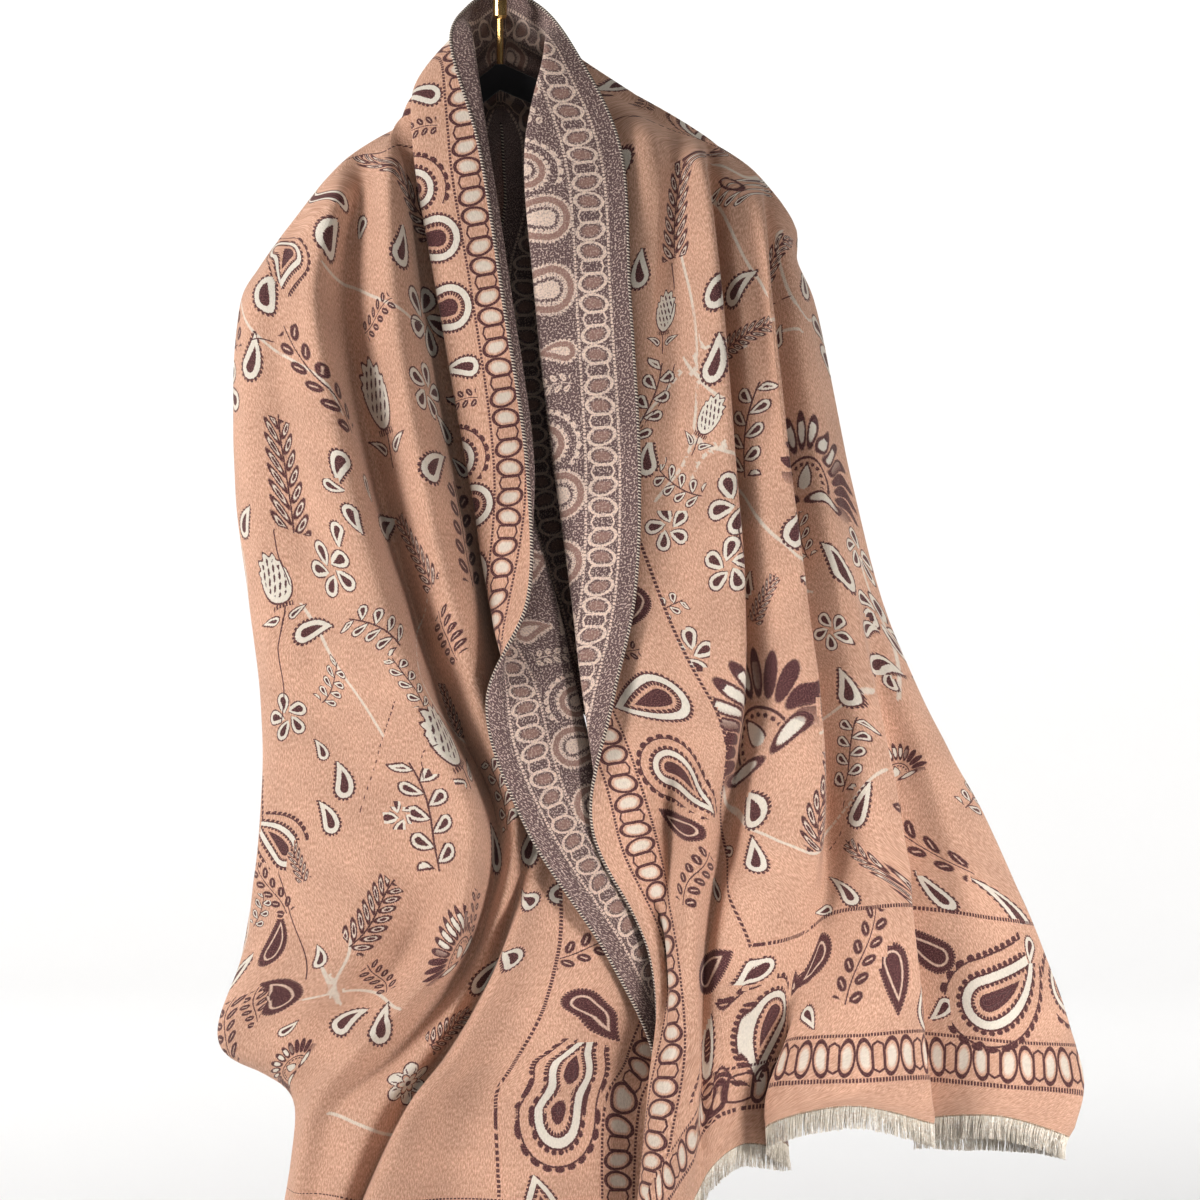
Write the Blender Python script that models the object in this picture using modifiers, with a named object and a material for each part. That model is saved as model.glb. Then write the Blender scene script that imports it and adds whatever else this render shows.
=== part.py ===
"""Paisley shawl with fringed ends, hung open over a slim padded hanger.

One woven sheet, 0.70 m by 2.00 m, is gathered behind the hook and falls in
two halves over the hanger's arms.  Each half is lofted from named fold lines
that run from the nape to the fringed end.  The hook's inner top, where a rail
carries it, is the origin.  X is right, Y is back, Z is up.
"""
import math

import bpy
import bmesh
import numpy as np

MM = 0.001

# Driving sizes, in millimetres
CLOTH_WIDTH = 700.0          # selvage to selvage
CLOTH_WALL = 2.0             # brushed double cloth
SEAM_GAP = 0.3               # between neighbouring pieces
SEAM_STRAIGHT = 5.0          # the cloth runs straight out of the nape seam ...
SEAM_STRAIGHT_EDGE = 1.5     # ... less so at its outer selvage
ACROSS_STEPS = 3             # faces between two fold lines
DOWN_STEPS = 2               # faces between two stations of a fold line
BACK_LINES = 6               # fold lines that carry each half round the back
RIGHT_BACK_DEPTH = 42.0      # how far the back panels hang behind the hook
LEFT_BACK_DEPTH = 60.0
RIGHT_TOP_EDGE = 3.0         # where each outer selvage hangs in X under the nape:
LEFT_TOP_EDGE = 14.0         # the left one crosses behind the right one

NAPE_TOP = -59.5             # top of the gathered nape
NAPE_DROP = 100.0            # height of the gathers behind the hook
NAPE_DEPTH = 30.0
NAPE_BOW = 8.0               # the gathers stand further back halfway down
NAPE_GATHER = 3.5            # depth of the gathers at the nape ...
NECK_GATHER = 1.5            # ... and beside the neck
SHOULDER_ROOM = 25.5         # least drop from a shoulder to its first level ...
LEVEL_ROOM = 9.0             # ... and between the levels that follow

TOP_BACK_STEP = 6.0          # the back panel starts this far behind the side ...
TOP_BACK_SINK = 4.0          # ... and this far under it,
TOP_BACK_RISE = 20.0         # climbs towards the nape,
TOP_BACK_ROOM = 10.0         # and ends this far in front of its full depth
TOP_BACK_PLEAT = 2.0
SIDE_TURN = (20.0, 64.0)     # least and most cloth that turns round the side
LEAST_BACK = 30.0            # least cloth left for the back
BACK_EASE = 0.93             # share of the back cloth that is drawn straight
BACK_PLEAT = 8.0             # deepest pleat of the back

FRINGE_BAND = 3.0            # the strip that the locks grow from
FRINGE_BAND_WALL = 1.6
FRINGE_LENGTH = 20.0
LOCK_TIP = 0.45              # width of a lock's tip as a share of its root
LOCK_UNEVENNESS = 1.2
LOCK_LEAN = 1.5

ARM_THICKNESS = 7.0
ARM_HEIGHT = 16.0
ARM_LENGTH = 182.0
ARM_EDGE = 1.6               # radius of the padding's edge
ARM_NOSE = 3.5               # how far the rounded tips stand out
ARM_TIP = 6.0                # height and length of a tip's rounding
ARM_TIP_UNDER = 3.0
ARM_CROWN = -118.4          # top of the arms under the hook
HANG_FORWARD = 4.0           # the cloth hangs a little in front of its fold lines
ARM_SLOPE_RIGHT = 23.5       # degrees; the hanger hangs a little tilted
ARM_SLOPE_LEFT = 37.5
HOOK_WIRE = 2.5              # wire radius
HOOK_BEND = 20.0             # inner radius of the hook
HOOK_START = 205.0           # degrees, where the bend's free end lies
HOOK_STEP = 15.0
HOOK_STEPS = 17
HOOK_CRANK = [(13.0, -43.0), (4.5, -50.0), (0.6, -55.0)]
HOOK_NECK = -58.0
FERRULE_RADIUS = 5.2
FERRULE_TOP = -60.0
FERRULE_BOTTOM = -84.0
FERRULE_EDGE = 0.8
FERRULE_TAPER = (1.2, 2.0)   # in and up, at its foot
FERRULE_FACETS = 20

PEACH = (0.58, 0.30, 0.19)
BEIGE = (0.62, 0.52, 0.40)
BLACK = (0.015, 0.014, 0.016)
GOLD = (0.78, 0.56, 0.28)

# Fold lines of the right half, from the front edge to the side.
# name, shoulder (x, z, forward), then (x, forward) at each of its levels (z),
# then the end (x, z, forward).  RIGHT_BACK is where the outer selvage hangs
# behind, in X, at each level and at the end.
RIGHT_LEVELS = [-182, -295, -430, -520, -595, -685, -782, -880]
RIGHT_BACK = [-6, -6, -6, -6, -6, -6, -6, -6, 60]
RIGHT_FOLDS = [
    ("edge", (58, -114, 18),
     [(89, 38), (97, 48), (104, 54), (100, 58), (84, 60), (69, 56), (112, 57), (117, 60)],
     (110, -1016, 56)),
    ("roll", (34, -109, 16),
     [(20, 32), (28, 38), (43, 40), (54, 44), (63, 52), (80, 57), (118, 61), (111, 67)],
     (98, -1016, 66)),
    ("under", (45, -122, 8),
     [(54, 20), (64, 26), (75, 30), (80, 36), (84, 46), (98, 56), (125, 53), (117, 78)],
     (105, -1010, 76)),
    ("neck", (88, -144, 2),
     [(114, 32), (112, 40), (105, 42), (108, 48), (106, 56), (114, 50), (126, 62), (126, 84)],
     (114, -1003, 82)),
    ("valley1", (126, -164, 0),
     [(129, 20), (126, 30), (129, 42), (138, 46), (136, 56), (126, 38), (130, 72), (135, 80)],
     (128, -988, 76)),
    ("ridge2", (144, -173, 4),
     [(152, 32), (164, 50), (174, 54), (180, 58), (177, 66), (148, 64), (142, 80), (146, 70)],
     (140, -968, 62)),
    ("valley2", (153, -177, 2),
     [(156, 14), (163, 20), (172, 24), (177, 28), (182, 38), (172, 36), (153, 60), (149, 54)],
     (148, -954, 50)),
    ("ridge3a", (164, -183, 4),
     [(168, 22), (178, 36), (189, 42), (194, 46), (196, 52), (188, 60), (162, 70), (159, 57)],
     (158, -938, 46)),
    ("swell3", (176, -192, 4),
     [(183, 22), (192, 34), (204, 46), (212, 52), (217, 62), (213, 70), (188, 66), (178, 46)],
     (180, -923, 38)),
    ("ridge3b", (189, -199, 4),
     [(195, 22), (202, 40), (216, 48), (227, 50), (236, 58), (238, 58), (218, 57), (216, 28)],
     (214, -926, 32)),
    ("valley3", (195, -204, 2),
     [(198, 8), (201, 14), (214, 18), (224, 20), (234, 26), (242, 28), (236, 54), (201, 57)],
     (198, -908, 57)),
    ("swell4", (206, -216, 0),
     [(209, 8), (219, 20), (238, 30), (253, 34), (264, 38), (276, 54), (274, 72), (261, 82)],
     (260, -890, 80)),
    ("ridge4", (212, -224, -2),
     [(215, 4), (227, 12), (248, 22), (265, 28), (280, 34), (298, 46), (308, 60), (316, 64)],
     (320, -905, 62)),
    ("valley4", (216, -230, -6),
     [(218, -2), (230, 4), (254, 12), (271, 14), (284, 16), (296, 22), (304, 32), (312, 38)],
     (314, -904, 38)),
    ("swell5", (219, -236, -12),
     [(220, -10), (233, -6), (259, 2), (279, 6), (304, 14), (338, 26), (364, 38), (376, 48)],
     (370, -901, 48)),
    ("side", (219, -240, -24),
     [(221, -24), (232, -20), (262, -14), (286, -10), (318, -6), (364, 0), (406, 8), (434, 14)],
     (424, -920, 16)),
]

# The same for the left half
LEFT_LEVELS = [-182, -295, -430, -520, -595, -685, -782, -854, -894]
LEFT_BACK = [18, 28, 40, 55, 65, 75, 80, 80, 75, 60]
LEFT_FOLDS = [
    ("edge", (-36, -100, 16),
     [(-15, 40), (3, 50), (22, 56), (22, 62), (-8, 66), (20, 68), (81, 62), (114, 45), (116, 44)],
     (111, -1014, 42)),
    ("roll", (-21, -97, 14),
     [(-8, 36), (9, 44), (26, 50), (17, 58), (0, 69), (32, 70), (88, 61), (122, 37), (112, 40)],
     (100, -1014, 42)),
    ("tuck", (-62, -134, 5),
     [(-64, 18), (-46, 22), (-22, 24), (-8, 32), (16, 62), (48, 62), (102, 53), (121, 29), (102, 42)],
     (90, -1014, 46)),
    ("flap", (-65, -146, 0),
     [(-36, 14), (-15, 14), (15, 18), (40, 28), (58, 32), (84, 36), (120, 37), (106, 34), (83, 50)],
     (75, -1012, 52)),
    ("gore1", (-64, -146, -1),
     [(-46, 7), (-24, 4), (4, 6), (28, 15), (42, 21), (58, 28), (72, 56), (54, 60), (36, 64)],
     (30, -1010, 62)),
    ("gore2", (-69, -149, -4),
     [(-57, 5), (-39, 0), (-10, 2), (14, 8), (26, 17), (44, 32), (22, 62), (-9, 62), (-33, 58)],
     (-38, -1009, 58)),
    ("gore3", (-74, -161, -4),
     [(-64, 5), (-46, 1), (-21, 2), (2, 8), (12, 17), (32, 36), (4, 70), (-33, 74), (-64, 78)],
     (-111, -1008, 76)),
    ("valley2", (-78, -165, -3),
     [(-70, 8), (-52, 5), (-30, 7), (-9, 12), (1, 25), (22, 38), (0, 44), (-38, 46), (-68, 50)],
     (-120, -1008, 50)),
    ("ridge2", (-85, -177, 3),
     [(-80, 28), (-64, 44), (-44, 52), (-27, 54), (-10, 50), (13, 54), (-12, 52), (-56, 60), (-90, 62)],
     (-130, -1006, 62)),
    ("valley1", (-102, -184, 0),
     [(-99, 12), (-122, 14), (-105, 18), (-76, 22), (-48, 26), (-4, 28), (-20, 38), (-76, 48), (-118, 52)],
     (-140, -1006, 52)),
    ("ridge1", (-116, -192, 2),
     [(-120, 20), (-130, 42), (-111, 54), (-81, 60), (-55, 68), (-20, 72), (-39, 74), (-108, 64), (-136, 56)],
     (-154, -1006, 50)),
    ("swag", (-130, -206, 2),
     [(-138, 18), (-147, 34), (-130, 46), (-111, 50), (-90, 54), (-52, 56), (-70, 46), (-136, 44), (-147, 40)],
     (-162, -1004, 36)),
    ("swell0", (-144, -223, 0),
     [(-153, 14), (-164, 28), (-153, 38), (-142, 42), (-128, 46), (-100, 54), (-112, 60), (-162, 36), (-152, 27)],
     (-167, -1004, 20)),
    ("hollow", (-154, -236, -4),
     [(-168, 4), (-178, 14), (-174, 22), (-164, 24), (-156, 28), (-141, 36), (-156, 44), (-183, 22), (-154, 14)],
     (-168, -1004, 8)),
    ("swell00", (-161, -245, -10),
     [(-177, -6), (-187, 2), (-188, 10), (-178, 14), (-172, 16), (-164, 20), (-178, 28), (-200, 8), (-154, 2)],
     (-169, -1004, -2)),
    ("side", (-163, -249, -22),
     [(-182, -20), (-193, -18), (-198, -14), (-189, -10), (-178, -6), (-178, 0), (-190, 6), (-209, -8), (-152, -14)],
     (-167, -1004, -14)),
]


# Where the cloth passes beside the neck: share of the width, x, y, z
RIGHT_NECK = [
    (0.000, 32, 12, -76),
    (0.095, 33, 13, -92),
    (0.190, 54, 15, -110),
    (0.430, 88, 19, -142),
    (0.620, 106, 23, -170),
    (0.714, 106, 29, -182),
    (0.810, 84, 34, -190),
    (1.000, 4, 33, -186),
]
LEFT_NECK = [
    (0.000, -24, 12, -74),
    (0.095, -25, 13, -88),
    (0.190, -32, 15, -110),
    (0.330, -42, 20, -139),
    (0.430, -52, 21, -151),
    (0.620, -78, 26, -178),
    (0.714, -80, 32, -190),
    (0.810, -66, 38, -196),
    (1.000, 3, 40, -188),
]

HALVES = [
    {"name": "right", "side": 1, "folds": RIGHT_FOLDS, "levels": RIGHT_LEVELS,
     "neck": RIGHT_NECK, "back": RIGHT_BACK, "depth": RIGHT_BACK_DEPTH,
     "top_edge": RIGHT_TOP_EDGE},
    {"name": "left", "side": -1, "folds": LEFT_FOLDS, "levels": LEFT_LEVELS,
     "neck": LEFT_NECK, "back": LEFT_BACK, "depth": LEFT_BACK_DEPTH,
     "top_edge": LEFT_TOP_EDGE},
]


def smooth_line(points, steps):
    """Centripetal Catmull-Rom curve through the points, steps to a span."""
    points = np.asarray(points, float)
    ends = [2 * points[0] - points[1]], [2 * points[-1] - points[-2]]
    held = np.concatenate([ends[0], points, ends[1]])
    knots = np.maximum(np.linalg.norm(np.diff(held, axis=0), axis=1), 1e-6) ** 0.5
    share = (np.arange(steps) / steps)[:, None]
    spans = []
    for i in range(len(points) - 1):
        p0, p1, p2, p3 = held[i:i + 4]
        t1 = knots[i]
        t2 = t1 + knots[i + 1]
        t3 = t2 + knots[i + 2]
        t = t1 + share * (t2 - t1)
        a1 = (t1 - t) / t1 * p0 + t / t1 * p1
        a2 = (t2 - t) / (t2 - t1) * p1 + (t - t1) / (t2 - t1) * p2
        a3 = (t3 - t) / (t3 - t2) * p2 + (t - t2) / (t3 - t2) * p3
        b1 = (t2 - t) / t2 * a1 + t / t2 * a2
        b2 = (t3 - t) / (t3 - t1) * a2 + (t - t1) / (t3 - t1) * a3
        spans.append((t2 - t) / (t2 - t1) * b1 + (t - t1) / (t2 - t1) * b2)
    spans.append(points[-1:])
    return np.concatenate(spans)


def row_length(row):
    return np.linalg.norm(np.diff(row, axis=0), axis=1).sum()


def front_lines(folds, levels):
    """Points of the fold lines that show, as [line, station, xyz]."""
    lines = []
    for _, shoulder, cells, end in folds:
        x, z, forward = shoulder
        line = [(x, -forward, z)]
        for step, (level, (x, forward)) in enumerate(zip(levels, cells)):
            line.append((x, -forward, min(level, z_below(shoulder, step))))
        x, z, forward = end
        line.append((x, -forward, z))
        lines.append(line)
    return np.array(lines, float)


def z_below(shoulder, step):
    """The highest that a station may lie under its shoulder."""
    return shoulder[1] - SHOULDER_ROOM - LEVEL_ROOM * step


def back_lines(front, top_edge, outer_edge, depth, side):
    """The lines that take the rest of the width round the side and back."""
    stations = front.shape[1]
    back = np.zeros((BACK_LINES, stations, 3))
    order = (np.arange(BACK_LINES) + 1) / BACK_LINES
    wave = np.where(np.arange(BACK_LINES) % 2 == 0, 1.0, -1.0)
    x, y, z = front[-1, 0]
    back[:, 0, 0] = x + (top_edge - x) * order
    back[:, 0, 1] = y + TOP_BACK_STEP + (depth - y - TOP_BACK_ROOM) * order
    back[:, 0, 1] += TOP_BACK_PLEAT * wave
    back[:, 0, 2] = z - TOP_BACK_SINK + TOP_BACK_RISE * order
    for j in range(1, stations):
        x, y, z = front[-1, j]
        used = row_length(smooth_line(front[:, j], 8))
        turn = min(max(depth - y, SIDE_TURN[0]), SIDE_TURN[1])
        rest = max(CLOTH_WIDTH - used - turn, LEAST_BACK)
        reach = min(BACK_EASE * rest, side * (x - outer_edge[j - 1]))
        pleat = 0.5 * math.sqrt(max(rest ** 2 - reach ** 2, 0.0)) / BACK_LINES
        back[:, j, 0] = x - side * reach * order
        back[:, j, 1] = y + turn * np.minimum(1.0, 4.0 * order)
        back[:, j, 1] += min(pleat, BACK_PLEAT) * wave
        back[:, j, 2] = z
    return back


def gather(count, depth):
    """In and out by turns, one gather to four fold lines."""
    return depth * np.sin(np.arange(count) * math.pi / 2)


def nape_points(count):
    """The gathers behind the hook, from the top one down."""
    share = np.arange(count) / (count - 1)
    points = np.zeros((count, 3))
    points[:, 1] = NAPE_DEPTH + NAPE_BOW * np.sin(math.pi * share)
    points[:, 1] += gather(count, NAPE_GATHER) * np.minimum(1.0, 4.0 * share + 0.15)
    points[:, 2] = NAPE_TOP - NAPE_DROP * share
    return points


def fold_lines(half):
    """Every fold line of one half, from the nape to the end."""
    side = half["side"]
    front = front_lines(half["folds"], half["levels"])
    back = back_lines(front, half["top_edge"], half["back"], half["depth"], side)
    lines = np.concatenate([front, back])
    count = len(lines)
    share = np.arange(count) / (count - 1)
    nape = nape_points(count)
    beside = nape.copy()
    nape[:, 0] = side * SEAM_GAP / 2
    beside[:, 0] = side * (SEAM_STRAIGHT + (SEAM_STRAIGHT_EDGE - SEAM_STRAIGHT) * share ** 6)
    at, x, y, z = np.array(half["neck"]).T
    neck = np.zeros((count, 3))
    neck[:, 0] = np.interp(share, at, x)
    neck[:, 1] = np.interp(share, at, y) + gather(count, NECK_GATHER)
    neck[:, 2] = np.interp(share, at, z)
    return np.concatenate([np.stack([nape, beside, neck], axis=1), lines], axis=1)


def cloth_grid(half):
    """Rows of points across the cloth, from the nape down to the end."""
    lines = fold_lines(half)
    columns = np.array([smooth_line(line, DOWN_STEPS) for line in lines])
    rows = [smooth_line(columns[:, j], ACROSS_STEPS) for j in range(columns.shape[1])]
    return np.array(rows) - (0.0, HANG_FORWARD, 0.0)


def place(name, data, collection, material):
    thing = bpy.data.objects.new(name, data)
    collection.objects.link(thing)
    data.materials.append(material)
    return thing


def make_material(name, colour, roughness, metallic=0.0):
    material = bpy.data.materials.new(name)
    material.use_nodes = True
    shader = material.node_tree.nodes["Principled BSDF"]
    shader.inputs["Base Color"].default_value = (*colour, 1.0)
    shader.inputs["Roughness"].default_value = roughness
    shader.inputs["Metallic"].default_value = metallic
    return material


def make_cloth(name, grid, side, collection, material):
    """One half of the shawl: its open surface, thickened to the wall."""
    rows, across, _ = grid.shape
    faces = []
    for i in range(rows - 1):
        for j in range(across - 1):
            corner = i * across + j
            face = (corner, corner + across, corner + across + 1, corner + 1)
            faces.append(face if side > 0 else face[::-1])
    mesh = bpy.data.meshes.new(name)
    mesh.from_pydata((grid.reshape(-1, 3) * MM).tolist(), [], faces)
    mesh.shade_smooth()
    cloth = place(name, mesh, collection, material)
    wall = cloth.modifiers.new("wall", "SOLIDIFY")
    wall.thickness = CLOTH_WALL * MM
    wall.offset = 0.0
    wall.use_quality_normals = True
    return cloth


def hem_frames(grid):
    """Points, down and through directions at each half step along the end."""
    hem = grid[-1]
    above = grid[-2]
    points = np.empty((2 * len(hem) - 1, 3))
    points[0::2] = hem
    points[1::2] = (hem[:-1] + hem[1:]) / 2
    down = np.empty_like(points)
    down[0::2] = hem - above
    down[1::2] = (down[0:-2:2] + down[2::2]) / 2
    down /= np.linalg.norm(down, axis=1)[:, None]
    through = np.cross(np.gradient(points, axis=0), down)
    through /= np.linalg.norm(through, axis=1)[:, None]
    return points, down, through


def make_fringe(name, grid, collection, material):
    """A strip under the end of one half, with a lock at every second step."""
    points, down, through = hem_frames(grid)
    half = FRINGE_BAND_WALL / 2
    shell = bmesh.new()

    def ring(centre, spread):
        return [shell.verts.new((centre + spread * side) * MM) for side in (1, -1)]

    tops = [ring(p + SEAM_GAP * d, half * n) for p, d, n in zip(points, down, through)]
    feet = [ring(p + (SEAM_GAP + FRINGE_BAND) * d, half * n)
            for p, d, n in zip(points, down, through)]
    for i in range(len(points) - 1):
        a, b = tops[i], tops[i + 1]
        c, d = feet[i], feet[i + 1]
        shell.faces.new((a[0], b[0], b[1], a[1]))
        shell.faces.new((a[0], c[0], d[0], b[0]))
        shell.faces.new((a[1], b[1], d[1], c[1]))
        if i % 2:
            shell.faces.new((c[0], c[1], d[1], d[0]))
            continue
        add_lock(shell, c, d, i)
    for end in (0, -1):
        a, c = tops[end], feet[end]
        shell.faces.new((a[0], a[1], c[1], c[0]))
    bmesh.ops.recalc_face_normals(shell, faces=shell.faces)
    mesh = bpy.data.meshes.new(name)
    shell.to_mesh(mesh)
    shell.free()
    return place(name, mesh, collection, material)


def add_lock(shell, left, right, index):
    """One four-sided lock that tapers from the strip's foot."""
    root = [left[0], right[0], right[1], left[1]]
    middle = sum((np.array(v.co) for v in root), np.zeros(3)) / 4
    length = FRINGE_LENGTH - FRINGE_BAND + LOCK_UNEVENNESS * math.sin(2.3 * index)
    lean = LOCK_LEAN * math.sin(1.7 * index)
    drop = np.array((lean, 0.0, -length)) * MM
    tip = []
    for v in root:
        offset = (np.array(v.co) - middle) * LOCK_TIP
        offset[2] = 0.0
        tip.append(shell.verts.new(middle + offset + drop))
    for k in range(4):
        n = (k + 1) % 4
        shell.faces.new((root[k], root[n], tip[n], tip[k]))
    shell.faces.new(tip)


def make_arms(collection, material):
    """Slim padded arms: a flat outline with round edges."""
    right = math.radians(ARM_SLOPE_RIGHT)
    left = math.radians(ARM_SLOPE_LEFT)
    tips = (-ARM_LENGTH * math.cos(left), -ARM_LENGTH * math.sin(left)), \
           (ARM_LENGTH * math.cos(right), -ARM_LENGTH * math.sin(right))
    top = [(tips[0][0], ARM_CROWN + tips[0][1]), (-6.0, ARM_CROWN - 2.5), (-3.5, ARM_CROWN),
           (3.5, ARM_CROWN), (6.0, ARM_CROWN - 1.5), (tips[1][0], ARM_CROWN + tips[1][1])]
    bottom = [(tips[1][0] + ARM_NOSE, top[-1][1] - ARM_TIP),
              (tips[1][0] + 1.0, top[-1][1] - ARM_HEIGHT + ARM_TIP_UNDER),
              (tips[1][0] - ARM_TIP, top[-1][1] - ARM_HEIGHT),
              (0.0, ARM_CROWN - ARM_HEIGHT - ARM_TIP_UNDER),
              (tips[0][0] + ARM_TIP, top[0][1] - ARM_HEIGHT),
              (tips[0][0] - 1.0, top[0][1] - ARM_HEIGHT + ARM_TIP_UNDER),
              (tips[0][0] - ARM_NOSE, top[0][1] - ARM_TIP)]
    curve = bpy.data.curves.new("hanger_arms", "CURVE")
    curve.dimensions = "2D"
    curve.fill_mode = "BOTH"
    curve.extrude = (ARM_THICKNESS / 2 - ARM_EDGE) * MM
    curve.bevel_depth = ARM_EDGE * MM
    curve.bevel_resolution = 1
    curve.offset = -ARM_EDGE * MM
    outline = curve.splines.new("POLY")
    outline.points.add(len(top + bottom) - 1)
    for point, (x, z) in zip(outline.points, top + bottom):
        point.co = (x * MM, z * MM, 0.0, 1.0)
    outline.use_cyclic_u = True
    arms = place("hanger_arms", curve, collection, material)
    arms.rotation_euler = (math.radians(90.0), 0.0, 0.0)
    return arms


def hook_route():
    """Centre line of the hook wire: its bend, its neck and its straight stem."""
    radius = HOOK_BEND + HOOK_WIRE
    centre = -HOOK_BEND
    route = []
    for step in range(HOOK_STEPS):
        angle = math.radians(HOOK_START - HOOK_STEP * step)
        route.append((radius * math.cos(angle), centre + radius * math.sin(angle)))
    return route + HOOK_CRANK + [(0.0, HOOK_NECK), (0.0, ARM_CROWN + SEAM_GAP)]


def make_hook(collection, material):
    curve = bpy.data.curves.new("hanger_hook", "CURVE")
    curve.dimensions = "3D"
    curve.bevel_depth = HOOK_WIRE * MM
    curve.bevel_resolution = 2
    curve.use_fill_caps = True
    wire = curve.splines.new("POLY")
    route = hook_route()
    wire.points.add(len(route) - 1)
    for point, (x, z) in zip(wire.points, route):
        point.co = (x * MM, 0.0, z * MM, 1.0)
    return place("hanger_hook", curve, collection, material)


def make_ferrule(collection, material):
    """The wide gold collar round the stem, turned about its axis."""
    inner = HOOK_WIRE + SEAM_GAP
    foot_in, foot_up = FERRULE_TAPER
    profile = [(inner, FERRULE_TOP), (FERRULE_RADIUS - FERRULE_EDGE, FERRULE_TOP),
               (FERRULE_RADIUS, FERRULE_TOP - FERRULE_EDGE),
               (FERRULE_RADIUS, FERRULE_BOTTOM + foot_up),
               (FERRULE_RADIUS - foot_in, FERRULE_BOTTOM), (inner, FERRULE_BOTTOM),
               (inner, FERRULE_TOP)]
    mesh = bpy.data.meshes.new("hanger_ferrule")
    points = [(x * MM, 0.0, z * MM) for x, z in profile]
    mesh.from_pydata(points, [(i, i + 1) for i in range(len(points) - 1)], [])
    ferrule = place("hanger_ferrule", mesh, collection, material)
    turn = ferrule.modifiers.new("turn", "SCREW")
    turn.steps = FERRULE_FACETS
    turn.render_steps = FERRULE_FACETS
    turn.use_merge_vertices = True
    turn.merge_threshold = 0.0001
    return ferrule


def clear_scene():
    for thing in list(bpy.data.objects):
        bpy.data.objects.remove(thing)


def build():
    clear_scene()
    collection = bpy.data.collections.new("tassel_shawl_on_hanger")
    bpy.context.scene.collection.children.link(collection)
    peach = make_material("peach_wool", PEACH, 0.9)
    fringe = make_material("beige_fringe", BEIGE, 0.8)
    velvet = make_material("black_velvet", BLACK, 0.95)
    gold = make_material("gold_wire", GOLD, 0.25, 1.0)
    for half in HALVES:
        grid = cloth_grid(half)
        make_cloth("shawl_" + half["name"], grid, half["side"], collection, peach)
        make_fringe("fringe_" + half["name"], grid, collection, fringe)
    make_arms(collection, velvet)
    make_hook(collection, gold)
    make_ferrule(collection, gold)


build()
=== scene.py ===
import math

import bpy
import numpy as np
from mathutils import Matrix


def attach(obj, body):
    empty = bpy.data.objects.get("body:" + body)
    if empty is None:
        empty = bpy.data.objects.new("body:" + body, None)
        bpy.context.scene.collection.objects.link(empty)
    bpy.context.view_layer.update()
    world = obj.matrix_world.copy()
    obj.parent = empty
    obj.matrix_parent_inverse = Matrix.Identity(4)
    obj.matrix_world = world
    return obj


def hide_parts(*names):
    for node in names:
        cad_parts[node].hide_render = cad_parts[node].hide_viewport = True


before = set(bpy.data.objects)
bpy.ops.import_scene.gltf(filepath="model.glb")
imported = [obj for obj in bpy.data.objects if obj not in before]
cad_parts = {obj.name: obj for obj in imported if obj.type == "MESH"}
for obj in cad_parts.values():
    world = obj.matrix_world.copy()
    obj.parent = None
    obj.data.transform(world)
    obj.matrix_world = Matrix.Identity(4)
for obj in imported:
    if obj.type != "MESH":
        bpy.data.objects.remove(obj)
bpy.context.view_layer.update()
mm = 0.001

# The sheet, in millimetres. Each half is lofted from fold lines, as the solids are; those of the left
# front differ a little.
sheet = {
    "width": 700.0,
    "halfLength": 1000.0,
    "wall": 1.8,
    "acrossSteps": 10,
    "downSteps": {"right": 24, "left": 22},
    "backLines": 6,
    "napeTop": -59.5,
    "napeDrop": 100.0,
    "napeDepth": 30.0,
    "napeGather": 3.5,
    "neckGather": 1.5,
    "seamStraight": 5.0,
    "seamStraightEdge": 0.3,
    "hangForward": 4.0,
    "napeBow": 8.0,
    "levelStart": 25.5,
    "levelStep": 9.0,
    "topDepth": (6.0, 10.0, 2.0),
    "topRise": (4.0, 20.0),
    "turnLimits": (20.0, 64.0),
    "restLeast": 30.0,
    "reachShare": 0.93,
    "pleatMost": 8.0,
    "lineSteps": 8,
}

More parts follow.
